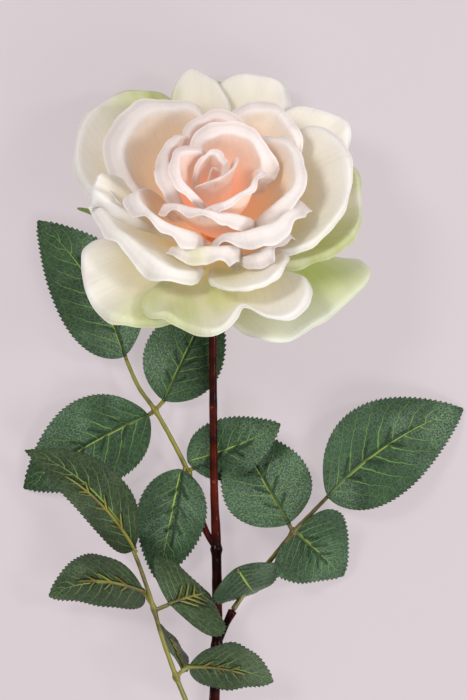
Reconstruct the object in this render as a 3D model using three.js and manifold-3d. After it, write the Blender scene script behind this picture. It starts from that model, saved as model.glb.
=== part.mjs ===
// Artificial rose with one open bloom and three compound leaves, lying on its back.
// Millimetres, +Z up. The whole flower is laid out around the centre of its receptacle and
// then lifted so that the lowest point rests on Z = 0, centred in X and Y.
import * as THREE from 'three';
import { mergeVertices } from 'three/addons/utils/BufferGeometryUtils.js';
import Module from 'manifold-3d';

const wasm = await Module();
wasm.setup();

const HEAD_TILT = 32;          // degrees between the bloom's axis and straight up
const PETAL_THICK = 0.8;       // a pressed petal and the air it holds around it
const LEAF_THICK = 0.8;
const PETAL_CELLS = [8, 5];    // cells across and along a petal
const LEAF_CELLS = [2, 7];     // cells across and along a leaflet
const GAP = 0.35;              // clearance between pieces that touch

const CORE_HEIGHT = 22;        // receptacle above the calyx
const CORE_RADIUS = 6.5;
const CALYX_DROP = 12;         // calyx below the receptacle centre
const STEM_TOP_RADIUS = 1.7;
const STEM_END_RADIUS = 2.4;
const STEM_END_Y = -352;       // cut end of the stem
const STEM_SIDES = 10;
const STALK_RADIUS = 1.25;
const STALKLET_RADIUS = 0.85;

const radians = THREE.MathUtils.degToRad;
const lerp = THREE.MathUtils.lerp;
const v3 = ([x, y, z]) => new THREE.Vector3(x, y, z);

// ---- materials ---------------------------------------------------------------------------

const finish = (color, roughness) =>
  new THREE.MeshStandardMaterial({ color, roughness, metalness: 0 });
const MATERIALS = {
  petal_heart: () => finish(0xf2c3ab, 0.7),
  petal_blush: () => finish(0xf3ddd3, 0.7),
  petal_cream: () => finish(0xefe9d6, 0.7),
  petal_green: () => finish(0xdde3b8, 0.7),
  leaf: () => finish(0x3f6148, 0.6),
  stalk: () => finish(0x8f8436, 0.5),
  stem: () => finish(0x4a1a16, 0.3),
  calyx: () => finish(0x5f7340, 0.6),
};

const rose = new THREE.Group();

function addPiece(name, geometry, material) {
  const mesh = new THREE.Mesh(geometry, MATERIALS[material]());
  mesh.name = name;
  rose.add(mesh);
}

// ---- closed bodies -----------------------------------------------------------------------

function signedVolume(positions, index) {
  const a = new THREE.Vector3();
  const b = new THREE.Vector3();
  const c = new THREE.Vector3();
  let sum = 0;
  for (let i = 0; i < index.length; i += 3) {
    a.fromArray(positions, index[i] * 3);
    b.fromArray(positions, index[i + 1] * 3);
    c.fromArray(positions, index[i + 2] * 3);
    sum += a.dot(b.cross(c));
  }
  return sum / 6;
}

function closedGeometry(positions, index) {
  if (signedVolume(positions, index) < 0) index.reverse();
  const geometry = new THREE.BufferGeometry();
  geometry.setAttribute('position', new THREE.Float32BufferAttribute(positions, 3));
  geometry.setIndex(index);
  return geometry;
}

// A curved sheet of even thickness: surface(u, v) with u from -1 to 1 and v from 0 to 1.
function sheetSolid(surface, [across, along], thickness) {
  const positions = [];
  const index = [];
  const row = across + 1;
  const layer = row * (along + 1);
  const step = 1e-3;
  for (const side of [0.5, -0.5]) {
    for (let j = 0; j <= along; j++) {
      for (let i = 0; i <= across; i++) {
        const u = (2 * i) / across - 1;
        const v = j / along;
        const middle = surface(u, v);
        const du = surface(u + step, v).sub(surface(u - step, v));
        const dv = surface(u, v + step).sub(surface(u, v - step));
        const normal = du.cross(dv).normalize();
        positions.push(...middle.addScaledVector(normal, side * thickness).toArray());
      }
    }
  }
  const quad = (a, b, c, d) => index.push(a, b, c, a, c, d);
  for (let j = 0; j < along; j++) {
    for (let i = 0; i < across; i++) {
      const a = j * row + i;
      quad(a, a + 1, a + row + 1, a + row);
      quad(layer + a + row, layer + a + row + 1, layer + a + 1, layer + a);
    }
  }
  const border = [];
  for (let i = 0; i < across; i++) border.push(i);
  for (let j = 0; j < along; j++) border.push(j * row + across);
  for (let i = across; i > 0; i--) border.push(along * row + i);
  for (let j = along; j > 0; j--) border.push(j * row);
  border.forEach((a, k) => {
    const b = border[(k + 1) % border.length];
    quad(b, a, a + layer, b + layer);
  });
  return closedGeometry(positions, index);
}

// A round rod through the points, with a radius at each of them.
function rod(points, radii, sides, steps) {
  const curve = new THREE.CatmullRomCurve3(points.map(v3), false, 'centripetal');
  const frames = curve.computeFrenetFrames(steps);
  const positions = [];
  const index = [];
  for (let j = 0; j <= steps; j++) {
    const t = j / steps;
    const place = curve.getPointAt(t);
    const slot = curve.getUtoTmapping(t) * (points.length - 1);
    const k = Math.min(Math.floor(slot), points.length - 2);
    const radius = lerp(radii[k], radii[k + 1], slot - k);
    for (let i = 0; i < sides; i++) {
      const angle = (2 * Math.PI * i) / sides;
      const point = place.clone()
        .addScaledVector(frames.normals[j], radius * Math.cos(angle))
        .addScaledVector(frames.binormals[j], radius * Math.sin(angle));
      positions.push(...point.toArray());
    }
  }
  const quad = (a, b, c, d) => index.push(a, b, c, a, c, d);
  for (let j = 0; j < steps; j++) {
    for (let i = 0; i < sides; i++) {
      const next = (i + 1) % sides;
      const low = j * sides;
      quad(low + i, low + next, low + sides + next, low + sides + i);
    }
  }
  for (let i = 1; i < sides - 1; i++) {
    const last = steps * sides;
    index.push(0, i + 1, i, last, last + i, last + i + 1);
  }
  return closedGeometry(positions, index);
}

function toManifold(geometry) {
  const bare = geometry.clone();
  bare.deleteAttribute('normal');
  bare.deleteAttribute('uv');
  const merged = mergeVertices(bare, 1e-4);
  return new wasm.Manifold(new wasm.Mesh({
    numProp: 3,
    vertProperties: new Float32Array(merged.attributes.position.array),
    triVerts: new Uint32Array(merged.index.array),
  }));
}

function fromManifold(solid) {
  const mesh = solid.getMesh();
  const geometry = new THREE.BufferGeometry();
  geometry.setAttribute('position', new THREE.BufferAttribute(mesh.vertProperties, 3));
  geometry.setIndex(new THREE.BufferAttribute(mesh.triVerts, 1));
  return geometry;
}

const joined = (pieces) => fromManifold(pieces.map(toManifold).reduce((a, b) => a.add(b)));

// ---- bloom: petals in the frame of the bloom's own axis -----------------------------------

// Radius, azimuth (0 = +X, 90 = towards the table) and height along the axis, in the flower's frame.
function headPoint(radius, azimuth, height) {
  const x = radius * Math.cos(radians(azimuth));
  const back = radius * Math.sin(radians(azimuth));
  const cos = Math.cos(radians(HEAD_TILT));
  const sin = Math.sin(radians(HEAD_TILT));
  return new THREE.Vector3(x, back * cos + height * sin, height * cos - back * sin);
}

// The receptacle's outline, from its tip (rank 0) to its widest place (rank 1).
function coreOutline(rank) {
  const angle = (Math.PI / 2) * (1 - rank);
  return [CORE_RADIUS * Math.cos(angle), CORE_HEIGHT * Math.sin(angle)];
}

function quadratic([start, middle, end], u) {
  const low = (start + end) / 2 - middle;
  return middle + ((end - start) / 2) * u + low * u * u;
}

// A petal: `turn` is its azimuth at one side, the middle and the other side of its rim, `reach`
// and `high` are the rim's radius and height there. `rank` is its place on the receptacle.
// `leave` and `arrive` are the slopes of its profile, in degrees above the plane of the bloom.
function petalSurface({ turn, reach, high, rank, leave, arrive, foot = 40, round = 0.3 }) {
  const [footRadius, footHeight] = coreOutline(rank);
  const start = [footRadius + GAP + PETAL_THICK / 2, footHeight];
  return (u, v) => {
    const along = v * (1 - round * Math.abs(u) ** 3);
    const spread = THREE.MathUtils.smoothstep(along, 0, 0.7);
    const azimuth = lerp(turn[1] + foot * u, quadratic(turn, u), spread);
    const end = [quadratic(reach, u), quadratic(high, u)];
    const pull = Math.hypot(end[0] - start[0], end[1] - start[1]) / 3;
    const c1 = [start[0] + pull * Math.cos(radians(leave)), start[1] + pull * Math.sin(radians(leave))];
    const c2 = [end[0] - pull * Math.cos(radians(arrive)), end[1] - pull * Math.sin(radians(arrive))];
    const [radius, height] = [0, 1].map((axis) => {
      const [a, b, c, d] = [start[axis], c1[axis], c2[axis], end[axis]];
      const w = 1 - along;
      return a * w ** 3 + 3 * b * w * w * along + 3 * c * w * along ** 2 + d * along ** 3;
    });
    return headPoint(radius, azimuth, height);
  };
}

const PETALS = {
  // heart
  petal_heart_1: { turn: [-30, 110, 250], reach: [3.5, 3, 4], high: [46, 51, 48], rank: 0.12 },
  petal_heart_2: { turn: [-24, 90, 195], reach: [4, 7, 11], high: [54, 56, 55], rank: 0.24 },
  petal_heart_3: { turn: [-158, -52, 56], reach: [12.5, 7.2, 13.5], high: [57, 58, 60], rank: 0.3 },
  petal_heart_4: { turn: [106, 185, 260], reach: [11, 17.5, 19.5], high: [60, 60, 59], rank: 0.38 },
  // inner cups
  petal_inner_1: { turn: [-116, -46, 18], reach: [21.5, 22.5, 20.5], high: [58, 59, 59], rank: 0.46 },
  petal_inner_2: { turn: [8, 72, 138], reach: [27.5, 23.5, 17.5], high: [57, 59, 58], rank: 0.46 },
  petal_inner_3: { turn: [108, 162, 216], reach: [28, 25.5, 23.5], high: [56, 57, 56], rank: 0.54 },
  petal_inner_4: { turn: [58, 92, 126], reach: [27, 31.5, 28], high: [53, 55, 54], rank: 0.6 },
  petal_inner_5: { turn: [-160, -105, -46], reach: [30.5, 30, 32], high: [52, 55, 53], rank: 0.6 },
  // middle
  petal_middle_1: { turn: [-46, 8, 64], reach: [30, 39.5, 31], high: [50, 52, 51], rank: 0.66 },
  petal_middle_2: { turn: [170, 213, 256], reach: [39, 38.5, 31], high: [48, 50, 49], rank: 0.7 },
  petal_middle_3: { turn: [-92, -42, 0], reach: [31, 38.5, 44], high: [48, 49, 47], rank: 0.74 },
  petal_middle_4: { turn: [20, 54, 88], reach: [43, 46, 40], high: [45, 48, 46], rank: 0.72 },
  petal_middle_5: { turn: [88, 130, 174], reach: [41, 54, 46], high: [43, 46, 44], rank: 0.78 },
  petal_middle_6: { turn: [-126, -98, -66], reach: [45, 44, 44], high: [39, 42, 40], rank: 0.8, foot: 30 },
  petal_middle_7: { turn: [-62, -49, -34], reach: [46, 46, 47], high: [40, 43, 39], rank: 0.8, foot: 14 },
  // outer
  petal_outer_1: { turn: [-28, 12, 50], reach: [53, 59, 58], high: [36, 41, 40], rank: 0.86 },
  petal_outer_2: { turn: [176, 214, 256], reach: [55, 55, 48], high: [33, 36, 33], rank: 0.88 },
  petal_outer_3: { turn: [-100, -68, -40], reach: [50, 52, 51], high: [33, 36, 33], rank: 0.9, foot: 30 },
  petal_outer_4: { turn: [160, 178, 196], reach: [58, 60, 55], high: [40, 44, 41], rank: 0.84, foot: 18 },
  petal_outer_5: { turn: [20, 36, 54], reach: [66, 67, 65], high: [28, 33, 30], rank: 0.92, foot: 18 },
  petal_outer_6: { turn: [56, 74, 92], reach: [59, 69, 62], high: [26, 29, 26], rank: 0.93, foot: 18 },
  petal_outer_7: { turn: [82, 98, 114], reach: [60, 65.5, 60], high: [30, 33, 30], rank: 0.88, foot: 12 },
  petal_outer_8: { turn: [100, 136, 172], reach: [70, 71, 65], high: [24, 28, 26], rank: 0.95 },
  petal_outer_9: { turn: [-40, 0, 36], reach: [43, 62, 67], high: [22, 24, 24], rank: 0.95 },
  petal_outer_10: { turn: [-128, -84, -40], reach: [62, 62, 62], high: [24, 27, 27], rank: 0.94 },
  // reflexed
  petal_back_1: { turn: [-170, -140, -110], reach: [59, 65.5, 62], high: [20, 18, 14], rank: 1 },
  petal_back_2: { turn: [-82, -46, -11], reach: [51, 61, 79], high: [6, 6, 5], rank: 1 },
  petal_back_3: { turn: [66, 86, 105], reach: [70, 73, 71], high: [18, 20, 18], rank: 1, foot: 16 },
  petal_back_4: { turn: [108, 125, 142], reach: [72, 75, 70], high: [14, 17, 16], rank: 1, foot: 16 },
};

// How far out a petal sits sets how flat it leaves the receptacle and how much it reflexes.
const LEAVE = { heart: 84, inner: 58, middle: 30, outer: 20, back: 4 };
const ARRIVE = { heart: 92, inner: 84, middle: 66, outer: 26, back: 2 };
const PETAL_FINISH = {
  heart: 'petal_heart', inner: 'petal_blush', middle: 'petal_blush',
  outer: 'petal_cream', back: 'petal_green',
};

for (const [name, petal] of Object.entries(PETALS)) {
  const whorl = name.split('_')[1];
  const slopes = { leave: LEAVE[whorl], arrive: ARRIVE[whorl] };
  const surface = petalSurface({ ...slopes, ...petal });
  addPiece(name, sheetSolid(surface, PETAL_CELLS, PETAL_THICK), PETAL_FINISH[whorl]);
}

// ---- receptacle, calyx and sepals --------------------------------------------------------

const withoutSlivers = (index) => {
  const kept = [];
  for (let i = 0; i < index.length; i += 3) {
    const [a, b, c] = [index[i], index[i + 1], index[i + 2]];
    if (a !== b && b !== c && c !== a) kept.push(a, b, c);
  }
  return kept;
};

// The calyx cup and the receptacle that the petals sit on, one moulded piece.
function receptacle() {
  const outline = [new THREE.Vector2(0, -CALYX_DROP), new THREE.Vector2(2.6, -CALYX_DROP)];
  outline.push(new THREE.Vector2(5.2, -9.5), new THREE.Vector2(6.2, -6), new THREE.Vector2(5.4, -3));
  const ranks = 8;
  for (let i = 0; i < ranks; i++) outline.push(new THREE.Vector2(...coreOutline(1 - i / ranks)));
  outline.push(new THREE.Vector2(0, CORE_HEIGHT));
  const lathe = new THREE.LatheGeometry(outline, 16);
  const turned = lathe.rotateX(Math.PI / 2 - radians(HEAD_TILT));
  turned.deleteAttribute('normal');
  turned.deleteAttribute('uv');
  const merged = mergeVertices(turned, 1e-4);
  return closedGeometry([...merged.attributes.position.array], withoutSlivers(merged.index.array));
}

const SEPAL_ROOT = [6.9, -4];   // radius and height of a sepal's root on the calyx
const SEPAL_WIDTH = 9;
const SEPALS = {
  sepal_1: { turn: 158, length: 58, sink: -5 },
  sepal_2: { turn: 230, length: 34, sink: -9 },
  sepal_3: { turn: 302, length: 34, sink: -9 },
  sepal_4: { turn: 14, length: 36, sink: -8 },
  sepal_5: { turn: 86, length: 34, sink: 0 },
};

function sepalSurface({ turn, length, sink }) {
  return (u, v) => {
    const radius = SEPAL_ROOT[0] + length * v;
    const half = (SEPAL_WIDTH / 2) * (0.06 + 0.94 * Math.sqrt(Math.max(0, 1 - v))) * u;
    const height = SEPAL_ROOT[1] + sink * v * v;
    const aside = THREE.MathUtils.radToDeg(Math.atan2(half, radius));
    return headPoint(Math.hypot(radius, half), turn + aside, height);
  };
}

addPiece('receptacle', receptacle(), 'calyx');
for (const [name, sepal] of Object.entries(SEPALS)) {
  addPiece(name, sheetSolid(sepalSurface(sepal), [2, 6], PETAL_THICK), 'calyx');
}

// ---- main stem ---------------------------------------------------------------------------

const STEM_PATH = [
  [0, -7.6, -11.6], [0, -11, -15], [-0.4, -17, -16.8], [-1.4, -37, -17], [-1, -101, -17.5],
  [0, -130, -18.5], [0.3, -171, -20], [-1.5, -222, -21.5], [-1.5, STEM_END_Y, -25.4],
];
const STEM_RADII = [1.6, 1.7, STEM_TOP_RADIUS, 1.7, 1.75, 2.1, 2.3, 2.35, STEM_END_RADIUS];
const STEM_KNOBS = [
  { path: [[0, -131, -18.5], [-3.6, -125.5, -19.4], [-6.2, -119.8, -20.6]], radii: [1.6, 1.4, 1.3] },
  { path: [[0.3, -173, -20.5], [4.2, -164, -20.4], [7, -158.4, -19.5]], radii: [1.7, 1.5, 1.8] },
  { path: [[-1.5, -238, -21.8], [-3.6, -230.5, -20.4], [-5.1, -225.5, -18.6]], radii: [1.7, 1.5, 1.7] },
];

function stem() {
  const knobs = STEM_KNOBS.map(({ path, radii }) => rod(path, radii, 8, 4));
  return joined([rod(STEM_PATH, STEM_RADII, STEM_SIDES, 34), ...knobs]);
}

addPiece('main_stem', stem(), 'stem');

// ---- leaf stalks and leaflets ------------------------------------------------------------

// The stem's knobs are the short stubs that the leaf stalks plug on to.
// Each compound leaf has a stalk from its knob to its end leaflet. `stalklets` are the short side
// branches, from a place on the stalk to the root of a leaflet.
const LEAVES = {
  leaf_a: {
    stalk: [
      [-6.6, -118.6, -21], [-8.8, -110.4, -21.6], [-12.2, -98.6, -20.8], [-19.1, -84.3, -18.6],
      [-26.5, -71.4, -18], [-33.5, -61.5, -18], [-38.8, -49.9, -18.8],
    ],
    stalklets: [
      [[-26.5, -71.4, -18], [-24.6, -69.4, -19.6], [-23.2, -67.8, -21]],
      [[-26.5, -71.4, -18], [-28.9, -73.1, -19.4]],
      [[-12.2, -98.6, -20.8], [-14.8, -98, -18.2]],
      [[-12.2, -98.6, -20.8], [-10.8, -97, -21.8]],
    ],
    leaflets: {
      end: { root: [-39.9, -48, -19.4], tip: [-77.6, 10.7, -25], width: 37, arch: 3, fold: 0.1, bow: 5 },
      upper_right: { root: [-22.7, -67, -21.6], tip: [-1, -20, -25], width: 33.5, arch: 0.5, fold: 0.05 },
      upper_left: {
        root: [-29.6, -73.6, -20], tip: [-83.7, -105.5, -25.5], width: 38, arch: 2, fold: 0.1, bow: 2,
      },
      lower_right: {
        root: [-9.6, -97.4, -22.6], tip: [27.5, -77.4, -12], width: 23, arch: -2.5, fold: 0.05, bow: 1.5,
      },
      lower_left: {
        root: [-14.8, -98.6, -17.6], tip: [-25.2, -146, -22.5], width: 29, arch: 1.5, fold: 0.1,
      },
    },
  },
  leaf_b: {
    stalk: [
      [7.4, -157.4, -19.4], [14.5, -147, -18.4], [23.8, -135.2, -12.5], [33, -123.4, -8],
      [41.1, -115.4, -12], [47.2, -109.6, -17.4],
    ],
    stalklets: [
      [[15, -146.2, -18], [11.6, -142, -12], [9.2, -139.6, -1]],
    ],
    leaflets: {
      end: {
        root: [48.3, -108.6, -18.4], tip: [107.3, -71.1, -25.6], width: 41, arch: 3, fold: 0.1, bow: -5,
      },
      upper: {
        root: [32.3, -121.1, -8.4], tip: [12, -84.2, -25.4], lean: [0, 0.3, 1],
        width: 32, arch: -5, fold: 0.05,
      },
      right: {
        root: [35.1, -125.3, -8.4], tip: [57, -145.6, -25], lean: [0.4, -0.4, 1],
        width: 33, arch: 3, fold: 0.1, base: 0.36,
      },
      lower: {
        root: [11.2, -140.4, 0], tip: [19.2, -154.8, -26], lean: [0.5, -1, 0.4],
        width: 30, arch: 3, fold: 0,
      },
    },
  },
  leaf_c: {
    stalk: [
      [-5.4, -224.4, -18], [-8, -211, -13.5], [-12.5, -196.6, -7], [-17, -184.6, -2.4],
      [-22.5, -168.4, 1.6], [-26.6, -154.2, 3], [-29.6, -144.9, 3], [-33.1, -135.3, 1.4],
      [-35.2, -130.6, 0.4],
    ],
    stalklets: [
      [[-26.6, -154.2, 3], [-30.6, -148, 2.4]],
      [[-26.2, -155.8, 3], [-20.4, -153.4, 3.4]],
      [[-17, -184.6, -2.4], [-15.6, -183.6, -4.2]],
      [[-17, -184.6, -2.4], [-14, -181.6, -1.8], [-11.9, -180.4, -2.4]],
    ],
    leaflets: {
      end: {
        root: [-34.6, -129.2, 0], tip: [-82, -88.5, -13], lean: [-0.35, -0.5, 1],
        width: 29, arch: 0, fold: -0.05, bow: 8, base: 0.48,
      },
      left: {
        root: [-31, -147.2, 2.4], tip: [-72, -151, -15], lean: [-0.2, -0.75, 1],
        width: 31, arch: -2, fold: -0.05, bow: 4, base: 0.5,
      },
      right: {
        root: [-19.6, -152.8, 3.4], tip: [-3.4, -150, -14], lean: [0.9, 0.75, 1], slant: [13, -16.4, 0],
        width: 42, arch: 3, fold: 0,
      },
      lower_left: {
        root: [-13.4, -182.4, -7.6], tip: [-24, -164, -19], lean: [1, 0.1, 0.35],
        width: 26, arch: 1, fold: 0,
      },
      lower_right: {
        root: [-11.1, -180, -2.6], tip: [24.4, -187.5, -9], lean: [-0.2, -0.75, 1],
        width: 28, arch: -1, fold: -0.05, bow: -2.5,
      },
    },
  },
};

// Share of the full width at a place along a blade: `base` sets how broad it is near its root.
function bladeShare(v, base) {
  const widest = base / (base + 1);
  return 0.05 + (0.95 * (v / widest) ** base * (1 - v)) / (1 - widest);
}

// A blade from root to tip: `lean` is the way its upper face looks and `slant` the way across it,
// `arch` lifts its middle, `fold` raises its two halves from the midrib and `bow` bends the midrib.
function bladeSurface({ root, tip, width, lean = [0, 0, 1], slant, arch, fold, bow = 0, base = 0.62 }) {
  const start = v3(root);
  const axis = v3(tip).sub(start);
  const side = slant ? v3(slant).normalize() : axis.clone().cross(v3(lean)).normalize();
  const up = side.clone().cross(axis).normalize();
  return (u, v) => {
    const across = (width / 2) * bladeShare(THREE.MathUtils.clamp(v, 0, 1), base) * u;
    const middle = 4 * v * (1 - v);
    return start.clone()
      .addScaledVector(axis, v)
      .addScaledVector(side, across + bow * middle)
      .addScaledVector(up, arch * middle + fold * Math.abs(across));
  };
}

for (const [name, leaf] of Object.entries(LEAVES)) {
  const steps = (leaf.stalk.length - 1) * 2;
  const radii = leaf.stalk.map((_, i) => lerp(STALK_RADIUS, STALKLET_RADIUS, i / (leaf.stalk.length - 1)));
  const branches = leaf.stalklets.map((path) => rod(path, path.map(() => STALKLET_RADIUS), 6, 3));
  addPiece(`${name}_stalk`, joined([rod(leaf.stalk, radii, 6, steps), ...branches]), 'stalk');
  for (const [place, blade] of Object.entries(leaf.leaflets)) {
    addPiece(`${name}_${place}`, sheetSolid(bladeSurface(blade), LEAF_CELLS, LEAF_THICK), 'leaf');
  }
}

// ---- lift on to the table ----------------------------------------------------------------

rose.updateMatrixWorld(true);
const box = new THREE.Box3().setFromObject(rose, true);
const centre = box.getCenter(new THREE.Vector3());
rose.position.set(-centre.x, -centre.y, -box.min.z);

export default rose;
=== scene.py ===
"""Artificial rose with one open bloom and three compound leaves, lying on a pale table."""
import math

import bmesh
import bpy
import numpy as np
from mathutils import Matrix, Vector


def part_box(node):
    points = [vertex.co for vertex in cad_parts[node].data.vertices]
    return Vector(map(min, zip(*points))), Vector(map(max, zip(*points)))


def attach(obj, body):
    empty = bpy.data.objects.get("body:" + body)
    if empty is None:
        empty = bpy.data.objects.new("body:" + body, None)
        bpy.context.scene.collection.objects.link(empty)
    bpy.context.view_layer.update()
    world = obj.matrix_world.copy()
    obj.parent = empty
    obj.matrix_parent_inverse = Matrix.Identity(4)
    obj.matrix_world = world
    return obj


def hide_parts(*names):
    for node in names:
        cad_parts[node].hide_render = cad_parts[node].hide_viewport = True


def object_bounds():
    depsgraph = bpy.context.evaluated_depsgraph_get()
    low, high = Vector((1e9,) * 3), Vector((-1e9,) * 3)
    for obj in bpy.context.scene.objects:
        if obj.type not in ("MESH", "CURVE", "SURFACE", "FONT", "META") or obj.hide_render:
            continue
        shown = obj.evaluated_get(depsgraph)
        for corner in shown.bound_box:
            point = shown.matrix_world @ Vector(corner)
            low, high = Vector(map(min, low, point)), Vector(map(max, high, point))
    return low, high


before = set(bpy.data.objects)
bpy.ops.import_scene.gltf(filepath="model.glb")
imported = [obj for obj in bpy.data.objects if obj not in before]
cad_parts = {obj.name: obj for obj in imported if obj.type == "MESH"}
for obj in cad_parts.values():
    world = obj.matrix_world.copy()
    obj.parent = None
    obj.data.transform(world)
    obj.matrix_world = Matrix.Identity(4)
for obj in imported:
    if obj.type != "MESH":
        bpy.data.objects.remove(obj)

CAD_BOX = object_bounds()
BODY = "root"
MM = 0.001                     # the tables of petals, leaves and stems are in millimetres

HEAD_TILT = math.radians(32)   # between the bloom's axis and straight up
CORE_HEIGHT = 22 * MM
CORE_RADIUS = 6.5 * MM
CALYX_DEPTH = 12               # of the calyx cup below the bloom's centre, in millimetres
CALYX_OUTLINE = ((0, -CALYX_DEPTH), (2.6, -CALYX_DEPTH), (5.2, -9.5), (6.2, -6), (5.4, -3))
PART_SIDES, PART_STEPS = 16, 8  # of the part's receptacle, around it and up its core
PETAL_CLOTH = 0.32 * MM
LEAF_CLOTH = 0.45 * MM
SEPAL_CLOTH = 0.7 * MM
SHARP_ANGLE = math.radians(75)  # between faces that meet in a hard edge
SPLINE_STEPS = 24              # straight steps between two points of a smooth curve
NO_ROD = (0.31, 0.17, 0.93)    # a direction that no rod starts in
DOME_RING = (0.75, 0.62)       # height and radius of the ring that rounds a rod's end, as shares


# ---- the bloom's own frame -------------------------------------------------------------------

def core_outline(rank):
    """Radius and height of the receptacle's outline, from its tip at 0 to its widest place at 1."""
    angle = math.pi / 2 * (1 - rank)
    return CORE_RADIUS * math.cos(angle), CORE_HEIGHT * math.sin(angle)


def tilted(radius, azimuth, height):
    """Points from radius, azimuth (0 = +X, 90 = towards the table) and height along the axis."""
    radius, azimuth, height = np.broadcast_arrays(radius, np.radians(azimuth), height)
    back = radius * np.sin(azimuth)
    along = back * math.cos(HEAD_TILT) + height * math.sin(HEAD_TILT)
    up = height * math.cos(HEAD_TILT) - back * math.sin(HEAD_TILT)
    return np.stack((radius * np.cos(azimuth), along, up), -1)


def flower_origin():
    """Centre of the receptacle in the row frame, from the receptacle's own box."""
    outline = [(r * MM, h * MM) for r, h in CALYX_OUTLINE]
    outline += [core_outline(i / PART_STEPS) for i in range(PART_STEPS + 1)]
    rings = [tilted(r, a * 360 / PART_SIDES, h) for r, h in outline for a in range(PART_SIDES)]
    return np.array(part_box("receptacle")[0]) - np.min(rings, axis=0)


ORIGIN = flower_origin()


def head_point(radius, azimuth, height):
    """Points of the bloom in the row frame, from radius, azimuth and height along its axis."""
    return tilted(radius, azimuth, height) + ORIGIN


def placed(points):
    """Millimetre points of the flower's frame, in the row frame."""
    return np.array(points, float) * MM + ORIGIN


# ---- meshes ----------------------------------------------------------------------------------

def smoothstep(x, low, high):
    """From 0 at low to 1 at high, level at both ends."""
    t = np.clip((x - low) / (high - low), 0, 1)
    return t * t * (3 - 2 * t)


def quadratic(values, u):
    """The parabola through three values at u = -1, 0 and 1."""
    start, middle, end = values
    return middle + (end - start) / 2 * u + ((start + end) / 2 - middle) * u * u


def unit(vectors):
    """Vectors of length 1 in the same directions."""
    length = np.linalg.norm(vectors, axis=-1, keepdims=True)
    return vectors / np.maximum(length, 1e-12)


def grid_faces(rows, columns, start=0):
    """Quads of a grid of rows by columns of points."""
    return [
        (start + j * columns + i, start + j * columns + i + 1,
         start + (j + 1) * columns + i + 1, start + (j + 1) * columns + i)
        for j in range(rows - 1) for i in range(columns - 1)
    ]


def tube_faces(rings, sides):
    """Quads between rings of as many points as the tube has sides."""
    return [
        (k * sides + i, k * sides + (i + 1) % sides, (k + 1) * sides + (i + 1) % sides, (k + 1) * sides + i)
        for k in range(rings - 1) for i in range(sides)
    ]


def new_piece(name, points, faces, materials, replaces=(), values=None, cloth=None):
    """A smooth mesh piece that rides on the body, with named values and a cloth map on its points."""
    mesh = bpy.data.meshes.new(name)
    mesh.from_pydata([tuple(p) for p in points], [], faces)
    mesh.validate()
    piece = bpy.data.objects.new(name, mesh)
    bpy.context.scene.collection.objects.link(piece)
    for key, data in (values or {}).items():
        layer = mesh.attributes.new(key, "FLOAT", "POINT")
        layer.data.foreach_set("value", np.asarray(data, np.float32).ravel())
    if cloth is not None:
        corner = np.array([loop.vertex_index for loop in mesh.loops])
        layer = mesh.uv_layers.new(name="cloth")
        layer.data.foreach_set("uv", np.asarray(cloth, np.float32)[corner].ravel())
    for material in materials:
        mesh.materials.append(material)
    mesh.shade_smooth()
    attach(piece, BODY)
    if replaces:
        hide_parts(*replaces)
    return piece


def thicken(piece, thickness, back_slot=0):
    """Gives a sheet its thickness about its middle, with its back and edge in another material."""
    shell = piece.modifiers.new("cloth thickness", "SOLIDIFY")
    shell.thickness = thickness
    shell.offset = 0
    shell.use_even_offset = False
    shell.material_offset = back_slot
    shell.material_offset_rim = back_slot
    depsgraph = bpy.context.evaluated_depsgraph_get()
    piece.data = bpy.data.meshes.new_from_object(
        piece.evaluated_get(depsgraph), preserve_all_data_layers=True, depsgraph=depsgraph)
    piece.modifiers.clear()
    piece.data.set_sharp_from_angle(angle=SHARP_ANGLE)


def spline(points, count):
    """Points and parameters at even steps along a smooth curve through the given ones."""
    points = np.array(points, float)
    ends = np.vstack((2 * points[0] - points[1], points, 2 * points[-1] - points[-2]))
    fine = []
    for k in range(1, len(ends) - 2):
        p0, p1, p2, p3 = ends[k - 1:k + 3]
        for t in np.linspace(0, 1, SPLINE_STEPS, endpoint=False):
            fine.append(0.5 * (2 * p1 + (p2 - p0) * t + (2 * p0 - 5 * p1 + 4 * p2 - p3) * t ** 2
                               + (3 * p1 - p0 - 3 * p2 + p3) * t ** 3))
    fine.append(ends[-2])
    fine = np.array(fine)
    length = np.concatenate(([0], np.cumsum(np.linalg.norm(np.diff(fine, axis=0), axis=1))))
    share = np.linspace(0, length[-1], count)
    slot = np.interp(share, length, np.arange(len(fine)) / SPLINE_STEPS)
    return np.stack([np.interp(share, length, fine[:, i]) for i in range(3)], 1), slot


def rod_shell(path, radii, sides, count, dome=0.5, ripple=None):
    """Points and faces of a round rod with domed ends."""
    middle, slot = spline(path, count)
    radius = np.interp(slot, np.arange(len(radii)), radii)
    if ripple is not None:
        radius = radius * ripple(middle)
    tangent = unit(np.gradient(middle, axis=0))
    side = unit(np.cross(tangent[0], NO_ROD))
    points = []
    angles = np.arange(sides) * 2 * math.pi / sides
    for k in range(count):
        side = unit(side - tangent[k] * np.dot(side, tangent[k]))
        other = np.cross(tangent[k], side)
        ring = np.cos(angles)[:, None] * side + np.sin(angles)[:, None] * other
        points.extend(middle[k] + ring * radius[k])
    faces = tube_faces(count, sides)
    for k, way in ((0, -1), (count - 1, 1)):
        first = len(points)
        ring = [k * sides + i for i in range(sides)]
        raised = middle[k] + tangent[k] * way * radius[k] * dome * DOME_RING[0]
        points.extend([raised + (np.array(points[i]) - middle[k]) * DOME_RING[1] for i in ring])
        points.append(middle[k] + tangent[k] * way * radius[k] * dome)
        for i in range(sides):
            j = (i + 1) % sides
            a, b, c, d = ring[i], ring[j], first + j, first + i
            faces.append((a, b, c, d) if way > 0 else (d, c, b, a))
            tip = (first + i, first + j, first + sides)
            faces.append(tip if way > 0 else tip[::-1])
    return np.array(points), faces


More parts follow.
